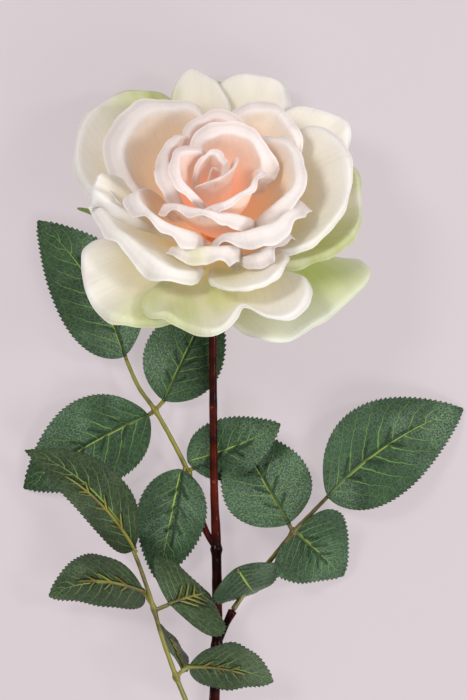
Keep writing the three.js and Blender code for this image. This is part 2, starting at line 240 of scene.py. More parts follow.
def joined_shells(shells):
    """Several closed shells as one list of points and faces."""
    points, faces = [], []
    for more, more_faces in shells:
        start = len(points)
        points.extend(more)
        faces.extend(tuple(i + start for i in face) for face in more_faces)
    return np.array(points), faces


# ---- petals ----------------------------------------------------------------------------------
# turn: azimuth at one side, the middle and the other side of the rim, in degrees
# reach, high: radius and height of the rim there; rank: place on the receptacle
# roll: radius of the rolled rim and how far it turns, in degrees; wave: height of the ruffle
# foot: half of the turn that the petal's foot spans, in degrees (FOOT where not given)
# round: share of its length that the petal loses towards its sides (ROUND where not given)
# dents: (place across, push outwards, lift, width across) of folds that shape the rim
# green: (place across, place along, size, strength) of the yellow-green tinges
# finish: the whorl whose finish the petal has, where that isn't its own

PETALS = {
    "petal_heart_1": dict(turn=(-30, 110, 250), reach=(3.5, 3, 4), high=(46, 51, 48), rank=0.12,
                          roll=(1.2, 40), wave=0.3),
    "petal_heart_2": dict(turn=(-24, 90, 195), reach=(4, 7, 11), high=(54, 56, 55), rank=0.24,
                          roll=(1.8, 80), wave=0.4),
    "petal_heart_3": dict(turn=(-158, -52, 56), reach=(12.5, 7.2, 13.5), high=(57, 58, 60), rank=0.3,
                          roll=(0.8, 60), wave=0.3),
    "petal_heart_4": dict(turn=(106, 185, 260), reach=(11, 17.5, 19.5), high=(60, 60, 59), rank=0.38,
                          roll=(2, 115), wave=0.5, dents=((-0.3, 2.2, 0.6, 0.16),)),
    "petal_inner_1": dict(turn=(-116, -46, 18), reach=(21.5, 22.5, 20.5), high=(58, 59, 59), rank=0.46,
                          roll=(1.9, 115), wave=0.6, dents=((0.55, 1.4, 0.7, 0.1), (0.25, -1, 0, 0.15))),
    "petal_inner_2": dict(turn=(8, 72, 138), reach=(27.5, 23.5, 17.5), high=(57, 59, 58), rank=0.46,
                          roll=(4.5, 75), wave=0.4),
    "petal_inner_3": dict(turn=(108, 162, 216), reach=(28, 25.5, 23.5), high=(56, 57, 56), rank=0.54,
                          roll=(3, 110), wave=0.6, dents=((-0.6, 1.5, 0.6, 0.14),)),
    "petal_inner_4": dict(turn=(58, 92, 126), reach=(27, 31.5, 28), high=(53, 55, 54), rank=0.6,
                          roll=(3.5, 80), wave=0.5),
    "petal_inner_5": dict(turn=(-164, -104, -40), reach=(31.5, 25, 31.5), high=(52, 54, 53), rank=0.6,
                          roll=(2.6, 120), wave=0.5, dents=((-0.75, 2.5, 0, 0.16),)),
    "petal_middle_1": dict(turn=(-46, 8, 64), reach=(30, 39.5, 31), high=(50, 52, 51), rank=0.66,
                           roll=(3.6, 95), wave=0.7),
    "petal_middle_2": dict(turn=(170, 213, 256), reach=(39, 38.5, 31), high=(48, 50, 49), rank=0.7,
                           roll=(4, 100), wave=0.6, dents=((-0.3, 1.5, 1, 0.16),)),
    "petal_middle_3": dict(turn=(-92, -42, 0), reach=(31, 38.5, 44), high=(48, 49, 47), rank=0.74,
                           roll=(4, 100), wave=0.9, dents=((0.7, 1.5, 0.8, 0.1), (0.35, 1.5, 0.5, 0.12))),
    "petal_middle_4": dict(turn=(20, 54, 88), reach=(43, 46, 40), high=(45, 48, 46), rank=0.72,
                           roll=(3.5, 70), wave=0.7),
    "petal_middle_5": dict(turn=(86, 130, 174), reach=(45, 57, 47), high=(44, 47, 44), rank=0.78,
                           roll=(6, 95), wave=0.9),
    "petal_middle_6": dict(turn=(-134, -98, -62), reach=(41, 37.5, 35), high=(39, 42, 40), rank=0.8,
                           foot=30, roll=(4.5, 100), wave=0.6, green=((-0.2, 1, 0.25, 0.5),)),
    "petal_middle_7": dict(turn=(-70, -48, -26), reach=(37.5, 42.5, 43), high=(38, 42, 40), rank=0.8,
                           foot=20, roll=(3.5, 90), wave=0.8),
    "petal_outer_1": dict(turn=(-42, 0, 48), reach=(45, 57, 61), high=(36, 41, 40), rank=0.86,
                          roll=(2.4, 60), wave=0.9, round=0.15, green=((-0.6, 0.6, 0.4, 0.25),)),
    "petal_outer_2": dict(turn=(170, 213, 255), reach=(63, 48, 46), high=(33, 37, 33), rank=0.88,
                          roll=(5, 80), wave=0.8, round=0.12, dents=((-0.1, -1.5, 0, 0.12),)),
    "petal_outer_3": dict(turn=(-93, -66, -38), reach=(46, 49, 43), high=(32, 36, 33), rank=0.9,
                          foot=30, roll=(2, 60), wave=0.8, round=0.2, green=((-0.6, 0.5, 0.4, 0.5),)),
    "petal_outer_4": dict(turn=(164, 180, 195), reach=(55, 58.5, 53), high=(41, 46, 42), rank=0.84,
                          foot=18, roll=(6.5, 150), wave=1.8, round=0.3),
    "petal_outer_5": dict(turn=(18, 42, 64), reach=(65, 69, 61), high=(28, 33, 30), rank=0.92,
                          foot=18, roll=(3, 80), wave=1.4, round=0.2),
    "petal_outer_6": dict(turn=(56, 75, 94), reach=(64, 76, 68), high=(27, 30, 28), rank=0.93,
                          foot=18, roll=(4, 70), wave=1, round=0.2),
    "petal_outer_7": dict(turn=(82, 98, 114), reach=(56, 69, 57), high=(30, 34, 31), rank=0.88,
                          foot=12, roll=(2.4, 90), wave=1.2, round=0.15, green=((0.8, 0.9, 0.3, 0.6),)),
    "petal_outer_8": dict(turn=(102, 134, 169), reach=(71, 78, 65), high=(24, 28, 26), rank=0.95,
                          roll=(4, 80), wave=1.2, round=0.2, green=((-0.6, 0.95, 0.4, 0.8),)),
    "petal_outer_9": dict(turn=(-40, 0, 36), reach=(43, 62, 67), high=(22, 24, 24), rank=0.95,
                          roll=(3, 70), wave=1.1, round=0.15,
                          green=((-0.5, 0.8, 0.6, 0.9), (0.5, 0.95, 0.3, 0.7))),
    "petal_outer_10": dict(turn=(-128, -84, -40), reach=(62, 62, 62), high=(24, 27, 27), rank=0.94,
                           roll=(2.6, 70), wave=1.2, round=0.12,
                           dents=((0.13, -12, 2, 0.17), (-0.27, 1, -1, 0.2), (-0.62, -3, 3, 0.12),
                                  (0.52, 3.5, 2, 0.22)),
                           green=((-0.5, 0.85, 0.35, 0.75), (-0.1, 0.5, 0.3, 0.7), (-0.95, 0.9, 0.4, 0.7))),
    "petal_back_1": dict(turn=(-170, -140, -110), reach=(59, 65.5, 62), high=(20, 18, 14), rank=1,
                         roll=(3, 60), wave=1.6, round=0.2, finish="outer", green=((0.7, 0.9, 0.45, 0.8),)),
    "petal_back_2": dict(turn=(-82, -46, -11), reach=(51, 61, 79), high=(6, 6, 5), rank=1, round=0.1,
                         roll=(2.5, 40), wave=1.6, dents=((-0.45, 9, 0, 0.3),),
                         green=((0.6, 0.5, 0.45, 0.9),)),
    "petal_back_3": dict(turn=(66, 86, 105), reach=(70, 73, 71), high=(18, 20, 18), rank=1,
                         foot=16, roll=(2.5, 50), wave=0.8, green=((0, 0.8, 0.8, 1),)),
    "petal_back_4": dict(turn=(108, 125, 142), reach=(72, 75, 70), high=(14, 17, 16), rank=1,
                         foot=16, roll=(2.5, 50), wave=0.8, green=((0, 0.9, 0.6, 1),)),
}
# How flat a petal leaves the receptacle and how steeply its rim ends, by whorl, in degrees.
LEAVE = {"heart": 84, "inner": 58, "middle": 30, "outer": 20, "back": 4}
ARRIVE = {"heart": 92, "inner": 84, "middle": 66, "outer": 26, "back": 2}
FOOT, ROUND = 40, 0.3
FOOT_GAP = 0.75 * MM           # between the receptacle and a petal's middle sheet
FOOT_SHARE = 0.7               # share of a petal's length over which it opens from its foot
CORNER = 0.12                  # share of its length that a petal loses at its corners
RIM_SWAY = 1.5                 # how much further the ruffle goes in and out than up and down
FOLD = 0.5 * MM                # height of the soft folds over a whole petal
PETAL_GRID = (46, 30)          # cells across and along
LIP_ROWS = 9
LIP_FOLD = (-0.25, 0.4)        # shares of a lip between which it folds over
LIP_TURN = 0.92                # share of its turn that a lip has made where it runs on straight
LIP_FADE = (0.12, 0.5)         # shares of the way from the foot over which the lip sets in
LEAST_TURN = 0.06              # of a lip, in radians
LIP_STEP = 0.01                # from row to row of a lip, as a share of the petal's length
RIM_UNIT = 10 * MM             # one unit of the distance to the rim that the finishes read
EDGE_REACH = 4                 # points on each side that an edge's directions are averaged over
CRIMP = 0.4 * MM               # how far the free edge of a lip wanders in and out


def ruffle(u, seed, first=2.2, count=4):
    """A smooth wave of about unit height, the same for the same seed."""
    draw = np.random.default_rng(seed)
    phase = draw.uniform(0, 2 * math.pi, count)
    weight = draw.uniform(0.5, 1, count) / np.arange(1, count + 1) ** 0.6
    waves = [weight[k] * np.sin(u * first * (k + 1) + phase[k]) for k in range(count)]
    return np.sum(waves, axis=0) / weight.sum() * 1.6


def crinkle(u, seed, first, count):
    """A pleated wave of about unit height, with sharper turns than a ruffle."""
    draw = np.random.default_rng(seed)
    phase = draw.uniform(0, 2 * math.pi, count)
    weight = draw.uniform(0.3, 1, count)
    waves = [weight[k] * np.arcsin(0.96 * np.sin(u * first * (k + 1) + phase[k])) for k in range(count)]
    return np.sum(waves, axis=0) / weight.sum() * 1.2


def lip_profile(turned):
    """How far a lip has gone beyond the rim and outwards after each row, for a lip as long as its turn."""
    share = np.linspace(0, 1, LIP_ROWS + 1)[1:, None]
    angle = turned[None, :] * LIP_TURN * smoothstep(share, *LIP_FOLD)
    step = turned[None, :] / LIP_ROWS
    return np.cumsum(np.cos(angle) * step, axis=0), np.cumsum(np.sin(angle) * step, axis=0)


def petal_surface(spec, whorl, seed):
    """surface(u, v) of the middle of a petal's cloth, u across and v from foot to rim."""
    foot_radius, foot_height = core_outline(spec["rank"])
    start = (foot_radius + FOOT_GAP, foot_height)
    turn, foot = spec["turn"], spec.get("foot", FOOT)
    leave, arrive = math.radians(LEAVE[whorl]), math.radians(ARRIVE[whorl])
    rounding = spec.get("round", ROUND)
    outwards = lip_profile(np.array([math.radians(spec["roll"][1])]))[1][-1, 0]
    lip = outwards * spec["roll"][0] * math.sin(arrive)

    def surface(u, v):
        along = v * (1 - rounding * np.abs(u) ** 3 - CORNER * np.abs(u) ** 10)
        spread = smoothstep(along, 0, FOOT_SHARE)
        azimuth = (turn[1] + foot * u) * (1 - spread) + quadratic(turn, u) * spread
        end = ((quadratic(spec["reach"], u) - lip) * MM, quadratic(spec["high"], u) * MM)
        pull = np.hypot(end[0] - start[0], end[1] - start[1]) / 3
        bend = ((start[0] + pull * math.cos(leave), end[0] - pull * math.cos(arrive)),
                (start[1] + pull * math.sin(leave), end[1] - pull * math.sin(arrive)))
        w = 1 - along
        radius, height = (
            start[k] * w ** 3 + 3 * bend[k][0] * w * w * along + 3 * bend[k][1] * w * along ** 2
            + end[k] * along ** 3 for k in (0, 1))
        rim = along ** 3
        radius = radius + RIM_SWAY * spec["wave"] * MM * rim * ruffle(u, seed)
        height = height + spec["wave"] * MM * rim * ruffle(u, seed + 50, 3.1)
        folds = FOLD * along * ruffle(1.4 * u + 2.3 * along, seed + 300, 2.6, 3)
        radius, height = radius + folds, height + folds
        for place, push, lift, width in spec.get("dents", ()):
            near = np.exp(-((u - place) / width) ** 2) * along ** 5
            radius = radius + push * MM * near
            height = height + lift * MM * near
        return head_point(radius, azimuth, height)

    return surface


def smooth_along(values, reach):
    """Values along an open path, averaged with their neighbours."""
    kernel = np.hanning(2 * reach + 3)[1:-1]
    padded = np.vstack((np.repeat(values[:1], reach, 0), values, np.repeat(values[-1:], reach, 0)))
    columns = [np.convolve(padded[:, i], kernel / kernel.sum(), "valid") for i in range(values.shape[1])]
    return np.stack(columns, 1)


def lengths_along(points):
    """Distance from the first point of a path to each of its points, along it."""
    return np.concatenate(([0], np.cumsum(np.linalg.norm(np.diff(points, axis=0), axis=1))))


def petal_edge(rows, columns):
    """Points of a petal's grid up one side, along the rim and down the other side."""
    left = [j * columns for j in range(rows)]
    top = [(rows - 1) * columns + i for i in range(1, columns)]
    right = [(j + 1) * columns - 1 for j in range(rows - 2, -1, -1)]
    return np.array(left + top + right)


def petal_lip(spec, sheet, loop, seed):
    """Rows of points of the lip that rolls outwards from the edge, and its length at each point."""
    radius, turn = spec["roll"][0] * MM, math.radians(spec["roll"][1])
    outward = unit(np.cross(np.gradient(sheet, axis=1), np.gradient(sheet, axis=0)))
    edge = sheet.reshape(-1, 3)[loop]
    ahead = smooth_along(unit(np.gradient(edge, axis=0)), EDGE_REACH)
    back = unit(smooth_along(outward.reshape(-1, 3)[loop], EDGE_REACH))
    beyond = unit(np.cross(back, ahead))
    walked = lengths_along(edge)
    place = 2 * walked / walked[-1] - 1
    strength = smoothstep(1 - np.abs(place), *LIP_FADE)
    crimp = CRIMP * strength * crinkle(place, seed + 200, 9, 7)
    radius = radius * (0.9 + 0.25 * ruffle(place, seed + 100, 4.3)
                       + 0.1 * crinkle(place, seed + 120, 11, 5))
    turned = turn * strength * (1 + 0.3 * ruffle(place, seed + 150, 6.3, 6)) + LEAST_TURN
    rings = []
    for k, (further, outwards) in enumerate(zip(*lip_profile(turned)), 1):
        out = radius * outwards + crimp * (k / LIP_ROWS) ** 2
        rings.append(edge + (radius * further)[:, None] * beyond + out[:, None] * back)
    return rings, radius * turned


def petal_values(spec, sheet, u, v, loop, lip):
    """Values that the finish reads at each point of a petal and its lip, and its map as flat cloth."""
    columns = u.shape[1]
    half_widths = np.linalg.norm(np.diff(sheet, axis=1), axis=2).sum(1)[:, None] / 2
    risen = lengths_along(sheet[:, columns // 2])
    cloth = np.stack((u * half_widths, np.repeat(risen[:, None], columns, 1)), -1).reshape(-1, 2)
    to_side = (1 - np.abs(u.ravel())) * np.repeat(half_widths, columns)
    to_rim = np.minimum(risen[-1] - cloth[:, 1], to_side)
    green = np.zeros_like(u)
    for at_u, at_v, size, strong in spec.get("green", ()):
        away = ((u - at_u) / size) ** 2 + ((v - at_v) / size) ** 2
        green = np.maximum(green, strong * np.exp(-away))
    rows = np.arange(1, LIP_ROWS + 1)[:, None]
    extra = lip * rows / LIP_ROWS
    values = {
        "along": np.append(v, v.ravel()[loop] + LIP_STEP * rows),
        "rim": np.append(to_rim, -extra) / RIM_UNIT,
        "green": np.append(green, np.tile(green.ravel()[loop], LIP_ROWS)),
        "hem": np.append(np.zeros(u.size), np.repeat(rows / LIP_ROWS, len(loop))),
    }
    lip_cloth = cloth[loop] + extra[..., None] * np.array((0, 1))
    return values, np.vstack((cloth, lip_cloth.reshape(-1, 2)))


def petal_faces(rows, columns, loop):
    """Quads of a petal's grid and of the rows of its lip."""
    faces = grid_faces(rows, columns)
    count, first, before = len(loop), rows * columns, loop
    for k in range(LIP_ROWS):
        after = np.arange(first + k * count, first + (k + 1) * count)
        faces += [(before[i], before[i + 1], after[i + 1], after[i]) for i in range(count - 1)]
        before = after
    return [tuple(int(i) for i in face) for face in faces]


def petal(name, spec, seed):
    """One pressed petal: a cupped sheet whose rim rolls outwards all round."""
    whorl = name.split("_")[1]
    columns, rows = (cells + 1 for cells in PETAL_GRID)
    length = math.hypot(spec["reach"][1], spec["high"][1]) * MM
    rim = 1 - spec["roll"][0] * MM / length
    u, v = np.meshgrid(np.linspace(-1, 1, columns), np.linspace(0, rim, rows))
    sheet = petal_surface(spec, whorl, seed)(u, v)
    loop = petal_edge(rows, columns)
    rings, lip = petal_lip(spec, sheet, loop, seed)
    points = np.vstack([sheet.reshape(-1, 3)] + rings)
    values, cloth = petal_values(spec, sheet, u, v, loop, lip)
    finish = PETAL_FINISH[spec.get("finish", whorl)]
    piece = new_piece(name + "_cloth", points, petal_faces(rows, columns, loop),
                      [finish], [name], values, cloth)
    thicken(piece, PETAL_CLOTH)


# ---- leaves ----------------------------------------------------------------------------------
# stalk, stalklets: centre lines of a leaf's stalk and its side branches, in millimetres
# root, tip: the two ends of a blade; width: at its widest
# lean: the way its upper face looks (straight up where not given); slant: its crosswise direction
# arch: lift of its middle; fold: rise of its halves from the midrib, as a slope
# bow: sideways bend of its midrib; base: how soon it widens (BASE where not given)
# rib: how far beside the printed midrib the moulded rib starts and ends
# back: whether the leaf shows its back

LEAVES = {
    "leaf_a": dict(
        stalk=[(-6.6, -118.6, -21), (-8.8, -110.4, -21.6), (-12.2, -98.6, -20.8), (-19.1, -84.3, -18.6),
               (-26.5, -71.4, -18), (-33.5, -61.5, -18), (-38.8, -49.9, -18.8)],
        stalklets=[[(-26.5, -71.4, -18), (-24.6, -69.4, -19.6), (-23.2, -67.8, -21)],
                   [(-26.5, -71.4, -18), (-28.9, -73.1, -19.4)],
                   [(-12.2, -98.6, -20.8), (-14.8, -98, -18.2)],
                   [(-12.2, -98.6, -20.8), (-10.8, -97, -21.8)]],
        blades=dict(
            end=dict(root=(-39.9, -48, -19.4), tip=(-77.6, 10.7, -25), width=37, arch=3, fold=0.1, bow=5,
                     rib=(0.5, 2)),
            upper_right=dict(root=(-22.7, -67, -21.6), tip=(-1, -20, -25), width=33.5, arch=0.5, fold=0.05,
                             rib=(0, 1.5)),
            upper_left=dict(root=(-29.6, -73.6, -20), tip=(-83.7, -105.5, -25.5), width=38, arch=2, fold=0.1,
                            bow=2, rib=(0, 1.5)),
            lower_right=dict(root=(-12.4, -93.6, -22.6), tip=(27.5, -77.4, -12), width=26, arch=-2.5,
                             fold=0.05, bow=1.5, rib=(4, 1.5)),
            lower_left=dict(root=(-15.4, -97, -17.6), tip=(-25.2, -146, -22.5), width=29, arch=1.5, fold=0.1,
                            rib=(-1.5, -3)))),
    "leaf_b": dict(
        stalk=[(7.4, -157.4, -19.4), (14.5, -147, -18.4), (23.8, -135.2, -12.5), (33, -123.4, -8),
               (41.1, -115.4, -12), (47.2, -109.6, -17.4)],
        stalklets=[[(15, -146.2, -18), (11.6, -142, -12), (9.2, -139.6, -1)],
                   [(33, -123.4, -8), (31.2, -120.2, -8.2)],
                   [(33, -123.4, -8), (34.2, -124.2, -7.8)]],
        blades=dict(
            end=dict(root=(48.3, -108.6, -18.4), tip=(107.3, -71.1, -25.6), width=41, arch=3, fold=0.1,
                     bow=-5, rib=(0, -1)),
            upper=dict(root=(31, -119.4, -8.4), tip=(7.5, -78, -25.4), lean=(0, 0.3, 1), width=38, arch=-4,
                       fold=0.05, rib=(0, 1)),
            right=dict(root=(33.6, -122.6, -8.4), tip=(55.2, -143.6, -25), lean=(0.4, -0.4, 1), width=37,
                       arch=0, fold=0.1, base=0.36, rib=(0, 1)),
            lower=dict(root=(9, -138, 0), tip=(17, -151, -26), lean=(0.5, -1, 0.4), width=31, arch=3,
                       fold=0))),
    "leaf_c": dict(
        stalk=[(-5.4, -224.4, -18), (-8, -211, -13.5), (-12.5, -196.6, -7), (-17, -184.6, -2.4),
               (-22.5, -168.4, 1.6), (-26.6, -154.2, 3), (-29.6, -144.9, 3), (-33.1, -135.3, 1.4),
               (-35.2, -130.6, 0.4)],
        stalklets=[[(-26.6, -154.2, 3), (-30.6, -148, 2.4)],
                   [(-26.2, -155.8, 3), (-20.4, -153.4, 3.4)],
                   [(-17, -184.6, -2.4), (-15.6, -183.6, -4.2)],
                   [(-17, -184.6, -2.4), (-14, -181.6, -1.8), (-11.9, -180.4, -2.4)]],
        blades=dict(
            end=dict(root=(-34.6, -129.2, 0), tip=(-82, -88.5, -13), lean=(-0.35, -0.5, 1), width=29, arch=0,
                     fold=-0.05, bow=8, base=0.48, rib=(0, -3), back=True),
            left=dict(root=(-31, -147.2, 2.4), tip=(-72, -151, -15), lean=(-0.2, -0.75, 1), width=31,
                      arch=-2, fold=-0.05, bow=4, base=0.5, rib=(0, 2), back=True),
            right=dict(root=(-19.6, -152.8, 3.4), tip=(-3.4, -150, -14), slant=(13, -16.4, 0), width=42,
                       arch=3, fold=0, rib=(0, 0.5), back=True),
            lower_left=dict(root=(-14, -182.4, -7.2), tip=(-24, -164, -19), lean=(1, 0.1, 0.35), width=26,
                            arch=1, fold=0, rib=(0, 0), back=True),
            lower_right=dict(root=(-11.1, -180, -2.6), tip=(24.4, -187.5, -9), lean=(-0.2, -0.75, 1),
                             width=28, arch=-1, fold=-0.05, bow=-2.5, rib=(0, 1.5), back=True))),
}
BASE = 0.62
TOOTH = 2.1 * MM               # from tooth to tooth along a leaf's margin
TOOTH_DEPTH = 0.85 * MM
TOOTH_FADE = (0.02, 0.12, 0.93)  # shares along the blade: no tooth to full teeth, and from full on
ROWS_A_TOOTH = 4
BLADE_COLUMNS = 49
MARGIN_STEPS = 600             # straight steps that the margin is measured with
CROWDING = 1.35                # above 1, columns stand closer along the midrib
MARGIN_WAVE = 0.7 * MM         # height of the slow wave along the margin
VEIN_WAVE = 0.12 * MM          # height of the pressed side veins
RIB_HEIGHT = 0.8 * MM          # how far the moulded rib presses up the cloth
RIB_MARK = 0.7 * MM            # half the width of its mark in the cloth
RIB_START, RIB_REACH = -0.03, 0.66   # shares of the blade that the rib runs between
RIB_AWAY = 0.55 * MM           # from the middle of the cloth to that of the rib
RIB_RADII = (0.85 * MM, 0.4 * MM)    # at its start and its end
SIDE_BARS = ((0.14, 6.5), (0.3, 7), (0.47, 5.5))   # place along the blade, and length in mm
BAR_BLADE = 33                 # width of the blade whose side bars have those lengths
BAR_SLANT = math.radians(42)
BAR_RADII = (0.55 * MM, 0.3 * MM)
STALK_RADII = (1.2, 0.85)      # at its foot and its tip, in millimetres
STALKLET_RADIUS = 0.9 * MM
JOINT_SWELLING, JOINT_REACH = 0.35, 1.4 * MM   # of a stalk where a branch leaves it


def blade_share(v, spec):
    """Share of the blade's full width that it has at v; a larger base puts the widest place later."""
    base = spec.get("base", BASE)
    widest = base / (base + 1)
    v = np.clip(v, 0, 1)
    return 0.02 + 0.98 * (v / widest) ** base * ((1 - v) / (1 - widest))


def blade_frame(spec):
    """A blade's root, its axis from root to tip, and its crosswise and upward directions."""
    start, tip = placed(spec["root"]), placed(spec["tip"])
    axis = tip - start
    crosswise = spec.get("slant", np.cross(axis, spec.get("lean", (0, 0, 1))))
    side = unit(np.array(crosswise, float))
    return start, axis, side, unit(np.cross(side, axis))


def rib_lines(spec):
    """Centre lines of the moulded rib and its side bars, as (across, along) in metres."""
    length = np.linalg.norm(blade_frame(spec)[1])
    root, tip = (value * MM for value in spec["rib"])
    end = RIB_REACH * length
    lines = [((root, RIB_START * length), (tip, end))]
    for share, bar in SIDE_BARS:
        from_root = share * length
        on_rib = root + (tip - root) * from_root / end
        reach = bar * MM * spec["width"] / BAR_BLADE
        for way in (-1, 1):
            away = way * reach * math.sin(BAR_SLANT)
            lines.append(((on_rib, from_root), (on_rib + away, from_root + reach * math.cos(BAR_SLANT))))
    return lines


def relief(across, along, lines):
    """How much the ribs beneath press up the cloth, from 0 beside them to 1 over them."""
    height = np.zeros_like(across)
    for (x0, y0), (x1, y1) in lines:
        dx, dy = x1 - x0, y1 - y0
        t = np.clip(((across - x0) * dx + (along - y0) * dy) / (dx * dx + dy * dy), 0, 1)
        distance = np.hypot(across - x0 - t * dx, along - y0 - t * dy)
        height = np.maximum(height, np.exp(-(distance / RIB_MARK) ** 2))
    return height


def blade_surface(spec, seed):
    """surface(across, along) of a blade's middle sheet, both in metres from its root."""
    start, axis, side, up = blade_frame(spec)
    length = np.linalg.norm(axis)
    half_width = spec["width"] / 2 * MM

    def surface(across, along):
        v = along / length
        half = half_width * blade_share(v, spec)
        u = np.clip(across / half, -1, 1)
        away = np.abs(u)
        slide = across + spec.get("bow", 0) * MM * 4 * v * (1 - v)
        lift = spec["arch"] * MM * 4 * v * (1 - v) + spec["fold"] * np.abs(across)
        lift = lift + MARGIN_WAVE * u * u * ruffle(v * 3 + np.sign(across), seed, 2.1, 3)
        veins = np.cos(2 * math.pi * (8 * v - 1.5 * away ** 1.3))
        lift = lift + VEIN_WAVE * veins * np.sin(away * math.pi)
        outer = np.multiply.outer
        return start + outer(v, axis) + outer(slide, side) + outer(lift, up)

    return surface


def blade_rows(half_width, length, spec):
    """Places along the blade, evenly spaced around its margin, a few to each tooth."""
    v = np.linspace(0, 1, MARGIN_STEPS)
    across, along = half_width * blade_share(v, spec), v * length
    walked = np.concatenate(([0], np.cumsum(np.hypot(np.diff(across), np.diff(along)))))
    teeth = max(8, round(walked[-1] / TOOTH))
    return np.interp(np.linspace(0, walked[-1], teeth * ROWS_A_TOOTH + 1), walked, v)


def toothed_grid(length, half_width, spec):
    """Across and along of a blade's points, in metres, and as shares of its width and length."""
    v = blade_rows(half_width, length, spec)
    even = np.linspace(-1, 1, BLADE_COLUMNS)
    u, v = np.meshgrid(np.sign(even) * np.abs(even) ** CROWDING, v)
    tooth = (np.arange(v.shape[0]) % ROWS_A_TOOTH) / (ROWS_A_TOOTH - 1)
    none, full, last = TOOTH_FADE
    fade = smoothstep(v[:, 0], none, full) * (1 - smoothstep(v[:, 0], last, 1))
    bite = (TOOTH_DEPTH * tooth * fade)[:, None] * np.abs(u) ** 12
    across = u * half_width * blade_share(v, spec) + np.sign(u) * bite
    return across, v * length + 0.5 * bite, u, v


def leaflet(name, spec, seed):
    """A starched cloth blade with a toothed margin, pressed over the ribs of its moulding."""
    _, axis, _, up = blade_frame(spec)
    length, half_width = np.linalg.norm(axis), spec["width"] / 2 * MM
    across, along, u, v = toothed_grid(length, half_width, spec)
    surface = blade_surface(spec, seed)
    sheet = surface(across, along)
    normal = unit(np.cross(np.gradient(sheet, axis=1), np.gradient(sheet, axis=0)))
    facing = np.sign(np.sum(normal * up, -1, keepdims=True))
    over_rib = relief(across, along, rib_lines(spec) if "rib" in spec else [])
    press = -RIB_HEIGHT if spec.get("back") else RIB_HEIGHT
    sheet = sheet + normal * facing * (press * over_rib)[..., None]
    faces = grid_faces(*v.shape)
    if np.mean(facing) < 0:
        faces = [face[::-1] for face in faces]
    values = {"across": u.ravel(), "along": v.ravel(), "pressed": over_rib.ravel(),
              "rim": ((1 - np.abs(u)) * half_width / RIM_UNIT).ravel()}
    skins = [LEAF_UNDER, LEAF_UPPER] if spec.get("back") else [LEAF_UPPER, LEAF_UNDER]
    cloth = np.stack((across, along), -1).reshape(-1, 2)
    piece = new_piece(name + "_cloth", sheet.reshape(-1, 3), faces, skins, [name],
                      values, cloth)
    thicken(piece, LEAF_CLOTH, 1)
    if "rib" in spec:
        add_rib(name, spec, surface, up)


def add_rib(name, spec, surface, up):
    """The moulded rib glued under the blade, or over it where the leaf shows its back."""
    away = up * (RIB_AWAY if spec.get("back") else -RIB_AWAY)
    rib, *bars = rib_lines(spec)
    shells = []
    rods = [(rib, RIB_RADII, 14, 30)] + [(bar, BAR_RADII, 6, 10) for bar in bars]
    for ((x0, y0), (x1, y1)), radii, steps, rings in rods:
        t = np.linspace(0, 1, steps)
        path = surface(x0 + (x1 - x0) * t, y0 + (y1 - y0) * t) + away
        shells.append(rod_shell(path, np.linspace(*radii, steps), 8, rings))
    points, faces = joined_shells(shells)
    new_piece(name + "_rib", points, faces, [STALK])


def leaf_stalk(name, leaf):
    """The stalk of a compound leaf with its side branches and the swellings where they meet."""
    path = placed(leaf["stalk"])
    branches = [placed(branch) for branch in leaf["stalklets"]]

    def swelling(points):
        size = np.ones(len(points))
        for branch in branches:
            distance = np.linalg.norm(points - branch[0], axis=1)
            size += JOINT_SWELLING * np.exp(-(distance / JOINT_REACH) ** 2)
        return size * (1 + 0.04 * np.sin(np.arange(len(points)) * 0.9))

    radii = np.linspace(*STALK_RADII, len(path)) * MM
    shells = [rod_shell(path, radii, 12, 90, ripple=swelling)]
    for branch in branches:
        shells.append(rod_shell(branch, np.full(len(branch), STALKLET_RADIUS), 10, 14))
    points, faces = joined_shells(shells)
    new_piece(name + "_stalk_moulding", points, faces, [STALK], [name + "_stalk"])


# ---- stem, calyx and sepals ------------------------------------------------------------------

STEM_END_Y = -352
STEM_PATH = [(0, -7.6, -11.6), (0, -11, -15), (-0.4, -17, -16.8), (-1.4, -37, -17), (-1, -101, -17.5),
             (0, -130, -18.5), (0.3, -171, -20), (-1.5, -222, -21.5), (-1.5, STEM_END_Y, -25.4)]
STEM_RADII = [1.6, 1.7, 1.7, 1.7, 1.75, 2.1, 2.3, 2.35, 2.4]   # at the points of the path
KNOBS = [
    dict(path=[(0, -131, -18.5), (-3.6, -125.5, -19.4), (-6.2, -119.8, -20.6)], radii=[1.6, 1.4, 1.5]),
    dict(path=[(0.3, -173, -20.5), (4.2, -164, -20.4), (7, -158.4, -19.5)], radii=[1.7, 1.5, 2]),
    dict(path=[(-1.5, -238, -21.8), (-3.6, -230.5, -20.4), (-5.1, -225.5, -18.6)], radii=[1.7, 1.5, 1.8]),
]
NODES = ((-131.5, 0.32), (-173.5, 0.2), (-238.5, 0.25), (-296, 0.22))   # place on Y, and swelling
NODE_REACH = 1.6 * MM
CALYX_SIDES = 40
CORE_STEPS = 10
RIB_COUNT, RIB_DEPTH = 10, 0.035   # ribs of the calyx cup, and their depth as a share of its radius
SEPAL_ROOT = (6.9, -4)         # radius and height, in millimetres
SEPAL_WIDTH = 9
SEPAL_LOBES = ((0.42, 0.035, 0.5), (0.62, 0.03, 0.4))   # place along it, length and width as shares
SEPALS = {
    "sepal_1": dict(turn=158, length=58, sink=-5),
    "sepal_2": dict(turn=230, length=34, sink=-9),
    "sepal_3": dict(turn=302, length=34, sink=-9),
    "sepal_4": dict(turn=14, length=36, sink=-8),
    "sepal_5": dict(turn=86, length=34, sink=0),
}


